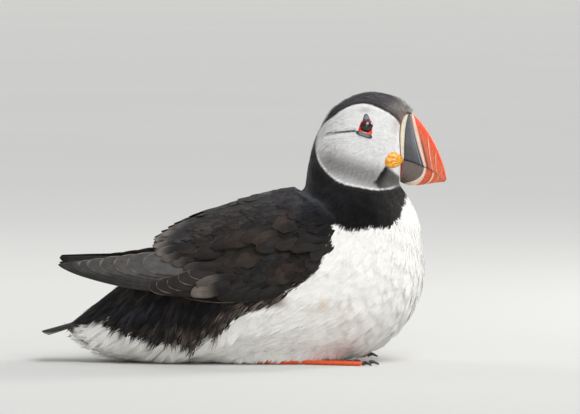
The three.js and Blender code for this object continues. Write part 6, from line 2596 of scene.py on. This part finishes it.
@dataclass
class Studio:
    """A plain pale floor that rises into a backdrop, soft lights and the camera."""

    target: tuple = (27.0, 0.0, 89.6)
    elevation: float = 3.0
    distance: float = 3738.0
    lens: float = 400.0
    floor_colour: Colour = srgb(205, 204, 200)

    def build(self) -> None:
        """Build the floor, the lights and the camera."""
        self._floor()
        self._sun()
        self._light("front_fill", (300, -2300, 500), (20, 0, 70), 1500, 9.0)
        self._light("rear_rim", (1000, 520, 620), (75, 0, 95), 360, 7.0)
        self._light("rear_left", (-900, 900, 900), (0, 0, 70), 600, 3.0)
        world = bpy.data.worlds.new("studio")
        world.use_nodes = True
        sky = world.node_tree.nodes["Background"]
        sky.inputs["Color"].default_value = (0.93, 0.96, 1.0, 1)
        sky.inputs["Strength"].default_value = 0.5
        bpy.context.scene.world = world
        bpy.context.scene.view_settings.view_transform = "Standard"
        self._camera()

    def _sun(self) -> None:
        """Add the broad key light that reaches the whole floor evenly."""
        data = bpy.data.lights.new("key", "SUN")
        data.energy = 2.05
        data.angle = math.radians(38)
        key = link_new("key", data)
        key.rotation_euler = Vector((0.42, -0.62, 1.0)).to_track_quat("Z", "Y").to_euler()

    def _floor(self) -> None:
        """Make the floor as one wide sheet that rises far away all round."""
        profile = [(0.5, 0), (1000, 0), (4000, 0), (10000, 0)]
        profile += [(10000 + 4000 * math.sin(a), 4000 - 4000 * math.cos(a))
                    for a in np.linspace(0.15, math.pi / 2, 10)]
        turns = np.linspace(0, 2 * math.pi, 64, endpoint=False)
        points = [(r * math.cos(a), r * math.sin(a), z) for r, z in profile for a in turns]
        faces = grid_faces(len(profile), len(turns), closed=True)
        faces.append(tuple(range(len(turns))))
        floor = make_object("floor", points, faces)
        shader = Shader("studio_floor")
        tone = shader.ramp(shader.noise(2.0, 2.0), 0.3, 0.7, 0.99, 1.01)
        colour = shader.shaded(self.floor_colour, tone)
        floor.data.materials.append(shader.finish(colour, 0.85))

    def _light(self, name: str, place: tuple, aim: tuple, size: float,
               power: float) -> None:
        """Add a square soft light that faces a point."""
        data = bpy.data.lights.new(name, "AREA")
        data.shape = "SQUARE"
        data.size = size * MM
        data.energy = power
        light = link_new(name, data)
        light.location = Vector(place) * MM
        light.rotation_euler = (Vector(aim) - Vector(place)).to_track_quat("-Z", "Y").to_euler()

    def _camera(self) -> None:
        """Add the camera, low and level with the bird's side."""
        data = bpy.data.cameras.new("camera")
        data.lens = self.lens
        data.sensor_width = 36.0
        data.clip_start, data.clip_end = 0.1, 50.0
        camera = link_new("camera", data)
        rise = math.radians(self.elevation)
        away = Vector((0, -math.cos(rise), math.sin(rise))) * self.distance
        camera.location = (Vector(self.target) + away) * MM
        camera.rotation_euler = (-away).to_track_quat("-Z", "Y").to_euler()
        bpy.context.scene.camera = camera


# ------------------------------------------------------------------ assembly

def mount(piece: bpy.types.Object, slot: str, *nodes: str) -> None:
    """Fasten a finished piece to the model.

    Args:
        piece: The piece.
        slot: The material slot that its finish belongs to; not used.
        *nodes: The CAD nodes that it stands for.
    """
    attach(piece, "root")
    if nodes:
        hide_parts(*nodes)
    log.info("%s: %d faces", piece.name, len(piece.data.polygons))


@dataclass
class Plumage:
    """The skin and every area of its coat."""

    skin: Skin

    def build(self) -> None:
        """Build and mount the skin, then grow each coat on it."""
        body = self.skin.build()
        tree = CoatTree()
        patterns = {shape: TuftPattern(shape).build() for shape in Tuft}
        specs = self._coats()
        coats = [spec.build(body, tree, patterns[spec.shape]) for spec in specs]
        for holder in patterns.values():
            for tuft in list(holder.objects):
                mesh = tuft.data
                bpy.data.objects.remove(tuft)
                bpy.data.meshes.remove(mesh)
            bpy.data.collections.remove(holder)
        mount(body, "plumage_white", *self.skin.flesh)
        for coat, spec in zip(coats, specs):
            mount(coat, spec.slot)

    @staticmethod
    def _coats() -> tuple:
        """List the coats, area by area."""
        down = DownFinish("white_down", tone_low=0.92, tone_high=1.03, root_shade=0.9)
        dark = DownFinish("dark_down", sheen=0.04, specular=0.16, tone_low=0.6,
                          tone_high=2.8, tone_from=0.5, pale_gain=0.05, root_shade=0.8)
        velvet = DownFinish("velvet", roughness=0.85, sheen=0.2, tone_low=0.93,
                            tone_high=1.04, root_shade=0.94)
        black = DownFinish("black_velvet", roughness=0.85, sheen=0.06, specular=0.14,
                           tone_low=0.7, tone_high=1.35)
        vane = VaneFinish("contour_vane", srgb(84, 70, 62), 0.5)
        return (
            Coat("face_velvet", Area.FACE, Tuft.VELVET, "plumage_white", velvet, 0.85,
                 seed=11, turn=9, softness=0.88, crisp=True),
            Coat("hood_velvet", Area.HOOD, Tuft.VELVET, "plumage_black", black, 0.9,
                 seed=12, turn=10, softness=0.8, crisp=True),
            Coat("breast_down", Area.BREAST, Tuft.DOWN, "plumage_white", down, 1.75,
                 seed=13, turn=8, tilt=2, softness=0.9),
            Coat("belly_down", Area.BELLY, Tuft.DOWN, "plumage_white", down, 1.7, seed=14,
                 turn=10, tilt=2.5, softness=0.88),
            Coat("vent_down", Area.VENT, Tuft.DOWN, "plumage_white", down, 1.8, seed=15,
                 turn=18, tilt=5, softness=0.8),
            Coat("flank_hair", Area.FLANK, Tuft.HAIR, "plumage_black", dark, 1.6, seed=16,
                 turn=15, softness=0.55),
            Coat("rump_down", Area.RUMP, Tuft.DOWN, "plumage_black", dark, 1.9, seed=17,
                 softness=0.65),
            Coat("mantle_vanes", Area.MANTLE, Tuft.VANE, "plumage_brown_black", vane, 2.9,
                 seed=18, turn=9, tilt=3, softness=0.4, by_place=False),
            Coat("covert_vanes", Area.COVERTS, Tuft.VANE, "plumage_black", vane, 2.9,
                 seed=19, turn=8, tilt=3, softness=0.4, by_place=False))


def main() -> None:
    """Build the model in order."""
    Plumage(Skin()).build()
    Fringe().build()
    Wing().build()
    Tail().build()
    Bill().build()
    Face().build()
    Feet().build()
    Studio().build()


if __name__ == "__main__":
    logging.basicConfig(level=logging.INFO, format="%(message)s")
    main()
